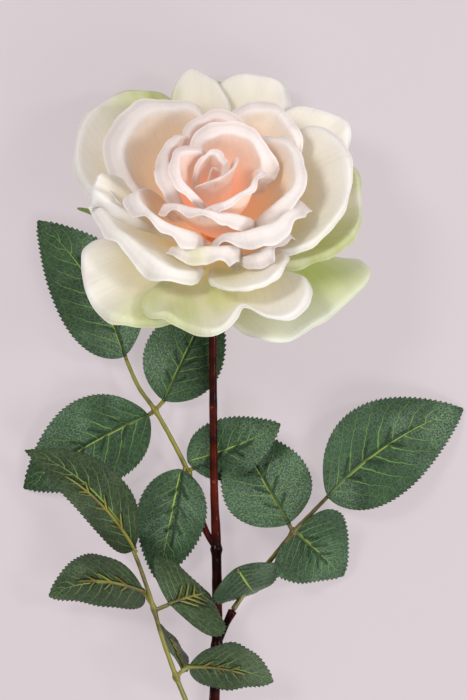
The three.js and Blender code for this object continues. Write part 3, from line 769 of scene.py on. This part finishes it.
def main_stem():
    """The stem with its nodes and the knobs that the leaf stalks plug on to."""
    def nodes(points):
        size = np.ones(len(points))
        for place, swelling in NODES:
            size += swelling * np.exp(-((points[:, 1] - ORIGIN[1] - place * MM) / NODE_REACH) ** 2)
        return size * (1 + 0.03 * ruffle(points[:, 1] / MM * 0.11, 7))

    shells = [rod_shell(placed(STEM_PATH), np.array(STEM_RADII) * MM, 28, 420, dome=0.12, ripple=nodes)]
    for knob in KNOBS:
        shells.append(rod_shell(placed(knob["path"]), np.array(knob["radii"]) * MM, 18, 26, dome=0.25))
    points, faces = joined_shells(shells)
    new_piece("main_stem_moulding", points, faces, [STEM], ["main_stem"])


def calyx():
    """The receptacle that the petals sit on, with the ribbed calyx cup below it."""
    outline = [(r * MM, h * MM) for r, h in CALYX_OUTLINE[1:]]
    outline += [core_outline(1 - i / CORE_STEPS) for i in range(CORE_STEPS)]
    curve = spline([(r, h, 0) for r, h in outline], 40)[0]
    sides = CALYX_SIDES
    angles = np.arange(sides) * 360 / sides
    points, faces = [], tube_faces(len(curve), sides)
    for radius, height, _ in curve:
        ribbed = radius * (1 + RIB_DEPTH * np.cos(np.radians(angles) * RIB_COUNT) * (height < 0))
        points.extend(head_point(ribbed, angles, height))
    for k, height in ((0, -CALYX_DEPTH * MM), (len(curve) - 1, CORE_HEIGHT)):
        centre = len(points)
        points.append(head_point(0, 0, height))
        for i in range(sides):
            triangle = (k * sides + i, k * sides + (i + 1) % sides, centre)
            faces.append(triangle if k else triangle[::-1])
    above = smoothstep(curve[:, 1], 0, 4 * MM).repeat(sides)
    values = {"inside": np.append(above, (0, 1))}
    new_piece("receptacle_moulding", points, faces, [CALYX], ["receptacle"], values)


def sepal(name, spec, seed):
    """A pointed sepal with small side lobes, cupped across and gently waving along its length."""
    u, v = np.meshgrid(np.linspace(-1, 1, 15), np.linspace(0, 1, 61))
    lobes = 1 + sum(wide * np.exp(-((v - place) / long) ** 2) for place, long, wide in SEPAL_LOBES)
    half = SEPAL_WIDTH / 2 * (0.04 + 0.96 * np.sqrt(1 - v) * (1 - 0.35 * v)) * lobes
    across = half * u
    radius = SEPAL_ROOT[0] + spec["length"] * v
    height = SEPAL_ROOT[1] + spec["sink"] * v * v + 0.06 * half * u * u + 0.5 * v * ruffle(v * 4, seed)
    azimuth = spec["turn"] + np.degrees(np.arctan2(across, radius))
    sheet = head_point(np.hypot(radius, across) * MM, azimuth, height * MM)
    piece = new_piece(name + "_leaf", sheet.reshape(-1, 3), grid_faces(*u.shape),
                      [SEPAL], [name])
    thicken(piece, SEPAL_CLOTH)


# ---- shader nodes ----------------------------------------------------------------------------

def srgb(red, green, blue):
    """A display colour from 0 to 255, as a linear colour."""
    def linear(value):
        value = value / 255
        return value / 12.92 if value <= 0.04045 else ((value + 0.055) / 1.055) ** 2.4
    return (linear(red), linear(green), linear(blue), 1)


def add(tree, kind, inputs=(), **settings):
    """A node whose inputs are values or other nodes' outputs."""
    node = tree.nodes.new(kind)
    for key, value in settings.items():
        setattr(node, key, value)
    for key, value in dict(inputs).items():
        if isinstance(value, bpy.types.NodeSocket):
            tree.links.new(value, node.inputs[key])
        else:
            node.inputs[key].default_value = value
    return node


def sums(tree, operation, first, second=0.0, third=0.0):
    """The result of a Math node."""
    return add(tree, "ShaderNodeMath", {0: first, 1: second, 2: third}, operation=operation).outputs[0]


def step_between(tree, value, low, high, bottom=0.0, top=1.0):
    """From bottom at low to top at high, with a smooth step between them."""
    ends = {"Value": value, "From Min": low, "From Max": high, "To Min": bottom, "To Max": top}
    return add(tree, "ShaderNodeMapRange", ends, interpolation_type="SMOOTHSTEP").outputs[0]


def blend(tree, share, first, second, way="MIX"):
    """From the first colour at a share of 0 to the second at 1."""
    node = add(tree, "ShaderNodeMix", {0: share, 6: first, 7: second}, data_type="RGBA", blend_type=way)
    return node.outputs[2]


def noise(tree, place, scale, detail=2.0, roughness=0.5):
    """Smooth noise from 0 to 1."""
    inputs = {"Vector": place, "Scale": scale, "Detail": detail, "Roughness": roughness}
    return add(tree, "ShaderNodeTexNoise", inputs).outputs["Fac"]


def painted(tree, name):
    """A value that the mesh holds at its points."""
    return add(tree, "ShaderNodeAttribute", attribute_name=name).outputs["Fac"]


def new_group(name, inputs, outputs):
    """An empty node group with its sockets, its input node and its output node."""
    tree = bpy.data.node_groups.new(name, "ShaderNodeTree")
    for socket, (kind, value) in inputs.items():
        made = tree.interface.new_socket(socket, in_out="INPUT", socket_type="NodeSocket" + kind)
        if value is not None:
            made.default_value = value
    for socket, kind in outputs.items():
        tree.interface.new_socket(socket, in_out="OUTPUT", socket_type="NodeSocket" + kind)
    return tree, tree.nodes.new("NodeGroupInput").outputs, tree.nodes.new("NodeGroupOutput")


def use_group(tree, group, inputs=()):
    """The outputs of a node group placed in a tree with its own values."""
    node = tree.nodes.new("ShaderNodeGroup")
    node.node_tree = group
    for key, value in dict(inputs).items():
        if isinstance(value, bpy.types.NodeSocket):
            tree.links.new(value, node.inputs[key])
        else:
            node.inputs[key].default_value = value
    return node.outputs


def weave_group():
    """Plain weave seen as height, and as the light and dark of its threads."""
    tree, given, result = new_group(
        "plain weave", {"Map": ("Vector", None), "Pitch": ("Float", 0.0005), "Slub": ("Float", 0.5)},
        {"Height": "Float", "Thread": "Float"})
    axes = add(tree, "ShaderNodeSeparateXYZ", {0: given["Map"]}).outputs
    turn = sums(tree, "DIVIDE", math.pi, given["Pitch"])
    across = sums(tree, "SINE", sums(tree, "MULTIPLY", axes["X"], turn))
    along = sums(tree, "SINE", sums(tree, "MULTIPLY", axes["Y"], turn))
    checks = sums(tree, "MULTIPLY", across, along)
    slubs = noise(tree, given["Map"], 900, 2, 0.6)
    uneven = sums(tree, "MULTIPLY", sums(tree, "SUBTRACT", slubs, 0.5), given["Slub"])
    height = sums(tree, "ADD", sums(tree, "MULTIPLY_ADD", checks, 0.25, 0.5), uneven)
    tree.links.new(height, result.inputs["Height"])
    tree.links.new(step_between(tree, height, 0.25, 0.8), result.inputs["Thread"])
    return tree


def mottle_group():
    """Soft uneven patches: 0 between them and 1 in them."""
    tree, given, result = new_group(
        "mottle", {"Place": ("Vector", None), "Scale": ("Float", 40), "Low": ("Float", 0.4),
                   "High": ("Float", 0.65), "Detail": ("Float", 3)}, {"Patch": "Float"})
    spots = noise(tree, given["Place"], given["Scale"], given["Detail"], 0.55)
    tree.links.new(step_between(tree, spots, given["Low"], given["High"]), result.inputs["Patch"])
    return tree


def streak_group():
    """Fine lines that run along the cloth, each of its own strength."""
    tree, given, result = new_group(
        "streaks", {"Map": ("Vector", None), "Width": ("Float", 0.001), "Length": ("Float", 0.03)},
        {"Line": "Float"})
    axes = add(tree, "ShaderNodeSeparateXYZ", {0: given["Map"]}).outputs
    across = sums(tree, "DIVIDE", axes["X"], given["Width"])
    along = sums(tree, "DIVIDE", axes["Y"], given["Length"])
    place = add(tree, "ShaderNodeCombineXYZ", {"X": across, "Y": along}).outputs[0]
    tree.links.new(noise(tree, place, 1, 3, 0.6), result.inputs["Line"])
    return tree


def rim_group():
    """1 at the rim of a petal or leaf, falling to 0 some way in from it, unevenly."""
    tree, given, result = new_group(
        "rim", {"Distance": ("Float", 0), "Place": ("Vector", None), "Width": ("Float", 0.3),
                "Uneven": ("Float", 0.3)}, {"Edge": "Float"})
    wander = sums(tree, "SUBTRACT", noise(tree, given["Place"], 160, 2, 0.5), 0.5)
    moved = sums(tree, "MULTIPLY_ADD", wander, given["Uneven"], given["Distance"])
    tree.links.new(step_between(tree, moved, given["Width"], 0.0), result.inputs["Edge"])
    return tree


def vein_group():
    """Printed veins: a midrib, pairs of curved side veins and a fine network between them."""
    tree, given, result = new_group(
        "leaf veins", {"Across": ("Float", 0), "Along": ("Float", 0), "Map": ("Vector", None),
                       "Pairs": ("Float", 9)}, {"Midrib": "Float", "Side": "Float", "Net": "Float"})
    away = sums(tree, "ABSOLUTE", given["Across"])
    shake = sums(tree, "SUBTRACT", noise(tree, given["Map"], 170, 2, 0.5), 0.5)
    midrib_width = step_between(tree, given["Along"], 1, 0, 0.012, 0.05)
    tree.links.new(step_between(tree, away, midrib_width, sums(tree, "MULTIPLY", midrib_width, 0.35)),
                   result.inputs["Midrib"])
    curve = sums(tree, "MULTIPLY", sums(tree, "POWER", away, 1.25), 0.27)
    shifted = sums(tree, "MULTIPLY_ADD", shake, 0.05, sums(tree, "SUBTRACT", given["Along"], curve))
    side = sums(tree, "SIGN", given["Across"])
    phase = sums(tree, "MULTIPLY_ADD", shifted, given["Pairs"], sums(tree, "MULTIPLY", side, 0.17))
    wave = sums(tree, "ABSOLUTE", sums(tree, "SUBTRACT", sums(tree, "FRACT", phase), 0.5))
    thin = step_between(tree, away, 0, 0.95, 0.085, 0.02)
    line = step_between(tree, wave, thin, sums(tree, "MULTIPLY", thin, 0.3))
    fade = step_between(tree, away, 0.98, 0.72)
    tree.links.new(sums(tree, "MULTIPLY", line, fade), result.inputs["Side"])
    cells = add(tree, "ShaderNodeTexVoronoi", {"Vector": given["Map"], "Scale": 420},
                feature="DISTANCE_TO_EDGE", voronoi_dimensions="3D").outputs["Distance"]
    tree.links.new(step_between(tree, cells, 0.09, 0.02), result.inputs["Net"])
    return tree


WEAVE, MOTTLE, STREAKS, RIM, VEINS = (
    group() for group in (weave_group, mottle_group, streak_group, rim_group, vein_group))


def patches(tree, place, scale, low, high):
    """The mottle's patches at one scale; a narrower step from low to high makes them harder."""
    return use_group(tree, MOTTLE, {"Place": place, "Scale": scale, "Low": low, "High": high})["Patch"]


def tinted(tree, colour, mask, strength, ink):
    """A colour with an ink, from 0 to 255, laid over it where the mask is."""
    return blend(tree, sums(tree, "MULTIPLY", mask, strength), colour, srgb(*ink))


def new_material(name, **constants):
    """A material with a Principled shader whose plain values are set on its own sockets."""
    material = bpy.data.materials.new(name)
    material.use_nodes = True
    tree = material.node_tree
    shader = tree.nodes["Principled BSDF"]
    for key, value in constants.items():
        shader.inputs[key.replace("_", " ")].default_value = value
    place = add(tree, "ShaderNodeTexCoord").outputs["Object"]
    cloth = add(tree, "ShaderNodeUVMap", uv_map="cloth").outputs["UV"]
    return material, tree, shader, place, cloth


def finish_surface(tree, shader, colour, roughness, height, distance, strength):
    """Feeds a colour, a roughness and the bumps of a height to a material's shader."""
    bump = add(tree, "ShaderNodeBump", {"Height": height, "Distance": distance, "Strength": strength})
    tree.links.new(colour, shader.inputs["Base Color"])
    tree.links.new(roughness, shader.inputs["Roughness"])
    tree.links.new(bump.outputs[0], shader.inputs["Normal"])


# ---- petal finishes --------------------------------------------------------------------------
# deep: in the foot of the petal, body: over most of it, tip: towards its rim, edge: the rim itself,
# tinge: the yellow-green dye; fades: where deep gives way to body and body to tip, along the petal

PETAL_COLOURS = {
    "heart": dict(deep=(254, 210, 178), body=(252, 230, 217), tip=(251, 235, 228), edge=(250, 241, 238),
                  tinge=(222, 214, 140), fades=(0.3, 0.8, 0.99)),
    "inner": dict(deep=(253, 208, 172), body=(251, 231, 216), tip=(251, 237, 230), edge=(250, 242, 239),
                  tinge=(226, 218, 150), fades=(0.28, 0.75, 0.98)),
    "middle": dict(deep=(253, 218, 174), body=(248, 230, 206), tip=(251, 243, 234), edge=(250, 244, 241),
                   tinge=(222, 220, 150), fades=(0.22, 0.65, 0.95)),
    "outer": dict(deep=(240, 224, 148), body=(248, 241, 216), tip=(250, 246, 237), edge=(250, 247, 243),
                  tinge=(206, 214, 122), fades=(0.12, 0.55, 0.9)),
    "back": dict(deep=(216, 220, 136), body=(234, 236, 202), tip=(238, 240, 220), edge=(243, 244, 232),
                 tinge=(196, 210, 104), fades=(0.1, 0.45, 0.9)),
}
PETAL_TRANSLUCENCE = 0.38
PETAL_THREAD = 0.00034         # from thread to thread, in metres
HEM_PAINTED_SHADE = 0.92               # of the painted shade line just inside the free edge of a lip
# Emission strength of each whorl's petals: painted light that stands in for light bounced between the petals
# and let through them
PETAL_PAINTED_GLOW = {"heart": 0.24, "inner": 0.24, "middle": 0.15, "outer": 0.15, "back": 0.13}
PAINTED_GLOW_COLOUR = (255, 226, 206)  # colour of the painted glow, which stands in for light let through and bounced about in the pile of petals


def petal_material(whorl):
    """Pressed satin cloth, dyed from its foot to its rim, with soft radial creases, a painted shade line
    near the free edge of its lip and a painted glow towards its foot.
    """
    dyes = {key: srgb(*value) for key, value in PETAL_COLOURS[whorl].items() if key != "fades"}
    foot, middle, top = PETAL_COLOURS[whorl]["fades"]
    material, tree, shader, place, cloth = new_material(
        "petal satin " + whorl, Sheen_Weight=0.25, Sheen_Roughness=0.45, Specular_IOR_Level=0.25,
        Emission_Strength=PETAL_PAINTED_GLOW[whorl])
    along, distance, green, hem = (painted(tree, name) for name in ("along", "rim", "green", "hem"))
    lines = use_group(tree, STREAKS, {"Map": cloth, "Width": 0.0011, "Length": 0.03})["Line"]
    broad = use_group(tree, STREAKS, {"Map": cloth, "Width": 0.0045, "Length": 0.05})["Line"]
    patch = patches(tree, place, 55, 0.35, 0.7)
    weave = use_group(tree, WEAVE, {"Map": cloth, "Pitch": PETAL_THREAD, "Slub": 0.4})
    bled = sums(tree, "MULTIPLY_ADD", sums(tree, "SUBTRACT", broad, 0.5), 0.12, along)
    colour = blend(tree, step_between(tree, bled, foot, middle), dyes["deep"], dyes["body"])
    colour = blend(tree, step_between(tree, bled, middle, top), colour, dyes["tip"])
    edge = use_group(tree, RIM, {"Distance": distance, "Place": place, "Width": 0.26, "Uneven": 0.3})["Edge"]
    colour = blend(tree, edge, colour, dyes["edge"])
    tinge = sums(tree, "MULTIPLY", green, step_between(tree, broad, 0.25, 0.7, 0.7, 1))
    colour = blend(tree, tinge, colour, dyes["tinge"])
    shade = step_between(tree, lines, 0.3, 0.7, 0.985, 1)
    grain_and_hem_shade = sums(tree, "MULTIPLY", shade, step_between(tree, patch, 0, 1, 0.975, 1))
    # Painted shade: a thin darker band near the free edge of each lip, where the lip's underside would shade
    # the cloth
    line = sums(tree, "MULTIPLY", step_between(tree, hem, 0.45, 0.72), step_between(tree, hem, 0.95, 0.8))
    grain_and_hem_shade = sums(tree, "MULTIPLY", grain_and_hem_shade, step_between(tree, line, 0, 1, 1, HEM_PAINTED_SHADE))
    grey = add(tree, "ShaderNodeCombineColor", {0: grain_and_hem_shade, 1: grain_and_hem_shade, 2: grain_and_hem_shade}).outputs[0]
    colour = blend(tree, 1.0, colour, grey, "MULTIPLY")
    # Painted light: the emission, strongest at the petal's foot, makes the deep parts glow in place of
    # bounced and let-through light
    lit = srgb(*PAINTED_GLOW_COLOUR) if whorl in ("heart", "inner") else dyes["body"]
    painted_glow = blend(tree, step_between(tree, bled, top, foot, 0.15, 1), (0, 0, 0, 1), lit)
    tree.links.new(painted_glow, shader.inputs["Emission Color"])
    roughness = step_between(tree, weave["Thread"], 0, 1, 0.62, 0.72)
    creases = sums(tree, "MULTIPLY_ADD", broad, 1.6, sums(tree, "MULTIPLY", lines, 0.5))
    height = sums(tree, "MULTIPLY_ADD", weave["Height"], 0.06, creases)
    finish_surface(tree, shader, colour, roughness, height, 0.0006, 0.55)
    through = add(tree, "ShaderNodeBsdfTranslucent", {"Color": colour})
    mixed = add(tree, "ShaderNodeMixShader",
                {0: PETAL_TRANSLUCENCE, 1: shader.outputs[0], 2: through.outputs[0]})
    tree.links.new(mixed.outputs[0], tree.nodes["Material Output"].inputs["Surface"])
    return material


PETAL_FINISH = {whorl: petal_material(whorl) for whorl in PETAL_COLOURS}


# ---- leaf, stalk, stem and calyx finishes ----------------------------------------------------

# dark, light: the two printed greens; bloom: the whitish threads, laid on thicker in patches of painted
# sheen; vein: the printed veins
# sheen: of the cloth; pressed: how far the painted shade along the moulded rib darkens the leaf
LEAF_SIDES = {
    "upper": dict(dark=(20, 44, 22), light=(34, 64, 34), bloom=(132, 158, 132), vein=(116, 156, 78),
                  sheen=0.02, pressed=0.7),
    "under": dict(dark=(36, 52, 28), light=(52, 70, 42), bloom=(114, 130, 104), vein=(126, 158, 92),
                  sheen=0.03, pressed=0.2),
}
LEAF_THREAD = 0.00045          # from thread to thread, in metres
# The last ink is the painted shade laid along the moulded rib.
MIDRIB_INK, MARGIN_INK, RIB_SHADOW_INK = (150, 176, 84), (52, 56, 44), (18, 38, 18)


def leaf_material(side):
    """Starched cotton leaf: a printed green with paler veins, a whitish bloom on its threads, patches of
    painted sheen and painted shade over its rib.
    """
    inks = LEAF_SIDES[side]
    material, tree, shader, place, cloth = new_material(
        "leaf cotton " + side, Sheen_Weight=inks["sheen"], Sheen_Roughness=0.4, Specular_IOR_Level=0.22)
    across, along, distance = (painted(tree, name) for name in ("across", "along", "rim"))
    weave = use_group(tree, WEAVE, {"Map": cloth, "Pitch": LEAF_THREAD, "Slub": 0.8})
    patch = patches(tree, place, 60, 0.35, 0.68)
    worn = patches(tree, place, 140, 0.5, 0.72)
    # Painted highlight: large patches where the whitish bloom lies thicker, standing in for the sheen where
    # the light catches the leaf
    sheen = patches(tree, place, 26, 0.4, 0.7)
    veins = use_group(tree, VEINS, {"Across": across, "Along": along, "Map": cloth, "Pairs": 9})
    colour = blend(tree, patch, srgb(*inks["dark"]), srgb(*inks["light"]))
    speck = patches(tree, cloth, 1300, 0.44, 0.6)
    threads = sums(tree, "MAXIMUM", speck, sums(tree, "MULTIPLY", weave["Thread"], 0.6))
    thread_bloom_and_sheen = sums(tree, "MULTIPLY", threads, step_between(tree, sheen, 0, 1, 0.1, 0.58))
    colour = blend(tree, thread_bloom_and_sheen, colour, srgb(*inks["bloom"]))
    colour = tinted(tree, colour, veins["Net"], 0.13, inks["vein"])
    colour = tinted(tree, colour, veins["Side"], 0.62, inks["vein"])
    colour = tinted(tree, colour, veins["Midrib"], 0.95, MIDRIB_INK)
    margin = {"Distance": distance, "Place": place, "Width": 0.07, "Uneven": 0.06}
    edge = use_group(tree, RIM, margin)["Edge"]
    colour = tinted(tree, colour, edge, 0.45, MARGIN_INK)
    # Painted shade: darker over the moulded rib and its side bars, standing in for the shadow of the raised
    # ridge
    pressed = step_between(tree, painted(tree, "pressed"), 0.15, 0.9, 0, inks["pressed"])
    colour = blend(tree, pressed, colour, srgb(*RIB_SHADOW_INK))
    roughness = step_between(tree, worn, 0, 1, 0.42, 0.6)
    lines = sums(tree, "MULTIPLY_ADD", veins["Side"], -0.5, sums(tree, "MULTIPLY", veins["Midrib"], -0.8))
    height = sums(tree, "MULTIPLY_ADD", weave["Height"], 0.5, lines)
    finish_surface(tree, shader, colour, roughness, height, 0.0006, 0.75)
    return material


def stalk_material():
    """Olive brown moulded plastic with a paler yellow-green wiped over it in places."""
    material, tree, shader, place, _ = new_material("stalk plastic", Coat_Weight=0.15, Coat_Roughness=0.35)
    patch = patches(tree, place, 45, 0.42, 0.6)
    fine = patches(tree, place, 420, 0.3, 0.75)
    red = patches(tree, place, 75, 0.6, 0.72)
    colour = blend(tree, patch, srgb(70, 60, 14), srgb(122, 118, 40))
    colour = tinted(tree, colour, red, 0.55, (84, 36, 14))
    colour = tinted(tree, colour, fine, 0.25, (132, 128, 54))
    finish_surface(tree, shader, colour, step_between(tree, fine, 0, 1, 0.36, 0.5), fine, 0.00012, 0.5)
    return material


def stem_material():
    """Glossy dark red-brown plastic over wire, with lighter reddish spots and fine pitting."""
    material, tree, shader, place, _ = new_material(
        "stem plastic", Coat_Weight=0.07, Coat_Roughness=0.08, Specular_IOR_Level=0.06)
    patch = patches(tree, place, 38, 0.38, 0.66)
    spots = patches(tree, place, 190, 0.6, 0.7)
    fine = patches(tree, place, 520, 0.35, 0.7)
    colour = blend(tree, patch, srgb(22, 4, 3), srgb(84, 24, 14))
    colour = tinted(tree, colour, spots, 0.6, (134, 66, 48))
    height = sums(tree, "MULTIPLY_ADD", spots, 0.6, sums(tree, "MULTIPLY", fine, 0.5))
    finish_surface(tree, shader, colour, step_between(tree, fine, 0, 1, 0.22, 0.36), height, 0.0002, 0.5)
    return material


def calyx_material(name, dark, light):
    """Green moulded plastic, mottled, a little hairy-looking, and dyed orange inside the bloom."""
    material, tree, shader, place, _ = new_material(name, Sheen_Weight=0.3, Sheen_Roughness=0.5)
    patch = patches(tree, place, 90, 0.38, 0.65)
    fine = patches(tree, place, 600, 0.3, 0.7)
    colour = blend(tree, patch, srgb(*dark), srgb(*light))
    colour = tinted(tree, colour, fine, 0.3, (150, 160, 90))
    colour = blend(tree, painted(tree, "inside"), colour, srgb(250, 170, 110))
    finish_surface(tree, shader, colour, step_between(tree, fine, 0, 1, 0.5, 0.7), fine, 0.0002, 0.6)
    return material


LEAF_UPPER, LEAF_UNDER = leaf_material("upper"), leaf_material("under")
STALK, STEM = stalk_material(), stem_material()
CALYX = calyx_material("calyx plastic", (74, 92, 40), (106, 124, 62))
SEPAL = calyx_material("sepal plastic", (52, 78, 32), (96, 118, 54))


# ---- the flower ------------------------------------------------------------------------------

SEPAL_SEED, LEAF_SEED = 200, 300

for seed, (name, spec) in enumerate(PETALS.items()):
    petal(name, spec, seed)
main_stem()
calyx()
for seed, (name, spec) in enumerate(SEPALS.items(), SEPAL_SEED):
    sepal(name, spec, seed)
for number, (name, leaf) in enumerate(LEAVES.items()):
    leaf_stalk(name, leaf)
    for seed, (place, spec) in enumerate(leaf["blades"].items(), LEAF_SEED + 10 * number):
        leaflet(name + "_" + place, spec, seed)


# ---- table, light and camera -----------------------------------------------------------------

TABLE_COLOUR = (116, 110, 112)
TABLE_GLOW = 2.75              # keeps the flower's shadows on the table faint
TABLE_REACH = 3                # from its middle to each side, in metres
VIEW = (7.43, -45.4)           # where the camera's axis meets the flower's frame, in millimetres
CAMERA_HEIGHT = 1.1            # above the table
SIGHT_PLANE = 40 * MM          # height above the table at which the scale is set
SEEN_HEIGHT = 294 * MM         # what the camera's view spans there, along the stem
SENSOR = 36                    # millimetres
# place beside the middle of the view, width, power and colour
LIGHTS = {
    "key": ((-0.85, 0.65, 1.4), 0.5, 13.5, (1, 0.99, 0.97)),
    "fill": ((0.8, -1, 1.1), 0.7, 13.5, (0.98, 0.98, 1)),
    "stem light": ((0.8, 0.1, 0.75), 0.22, 4, (1, 1, 1)),
}
ROOM_COLOUR, ROOM_LIGHT = (0.93, 0.92, 0.95, 1), 0.5


def table():
    """A wide seamless table top with a faint grain."""
    paint = srgb(*TABLE_COLOUR)
    material, tree, shader, place, _ = new_material(
        "table paint", Specular_IOR_Level=0.2, Emission_Strength=TABLE_GLOW, Emission_Color=paint)
    patch = patches(tree, place, 6, 0.3, 0.7)
    colour = blend(tree, patch, srgb(*(value - 3 for value in TABLE_COLOUR)), paint)
    finish_surface(tree, shader, colour, step_between(tree, patch, 0, 1, 0.75, 0.85), patch, 0.0001, 0.2)
    mesh = bpy.data.meshes.new("table")
    sheet = bmesh.new()
    bmesh.ops.create_grid(sheet, x_segments=24, y_segments=24, size=TABLE_REACH)
    bmesh.ops.translate(sheet, verts=sheet.verts, vec=(0, 0, CAD_BOX[0][2]))
    sheet.to_mesh(mesh)
    sheet.free()
    mesh.materials.append(material)
    top = bpy.data.objects.new("table", mesh)
    bpy.context.scene.collection.objects.link(top)


def soft_light(name, place, target, size, power, colour):
    """A round soft light that looks at its target."""
    data = bpy.data.lights.new(name, "AREA")
    data.shape = "DISK"
    data.size = size
    data.energy = power
    data.color = colour
    lamp = bpy.data.objects.new(name, data)
    lamp.location = Vector(place)
    lamp.rotation_euler = (Vector(target) - Vector(place)).to_track_quat("-Z", "Y").to_euler()
    bpy.context.scene.collection.objects.link(lamp)


def studio():
    """Soft lights over the table in a pale room."""
    middle = ORIGIN + np.array((VIEW[0], VIEW[1], 0)) * MM
    for name, (place, *look) in LIGHTS.items():
        soft_light(name, middle + place, middle, *look)
    world = bpy.data.worlds.new("room")
    world.use_nodes = True
    world.node_tree.nodes["Background"].inputs[0].default_value = ROOM_COLOUR
    world.node_tree.nodes["Background"].inputs[1].default_value = ROOM_LIGHT
    bpy.context.scene.world = world
    bpy.context.scene.view_settings.view_transform = "Standard"
    bpy.context.scene.view_settings.look = "None"


def camera():
    """A camera that looks straight down on the bloom and the leaves."""
    data = bpy.data.cameras.new("camera")
    data.sensor_fit = "VERTICAL"
    data.sensor_height = SENSOR
    data.lens = SENSOR * (CAMERA_HEIGHT - SIGHT_PLANE) / SEEN_HEIGHT
    data.clip_end = 20
    seat = bpy.data.objects.new("camera", data)
    seat.location = (ORIGIN[0] + VIEW[0] * MM, ORIGIN[1] + VIEW[1] * MM, CAD_BOX[0][2] + CAMERA_HEIGHT)
    bpy.context.scene.collection.objects.link(seat)
    bpy.context.scene.camera = seat


table()
studio()
camera()
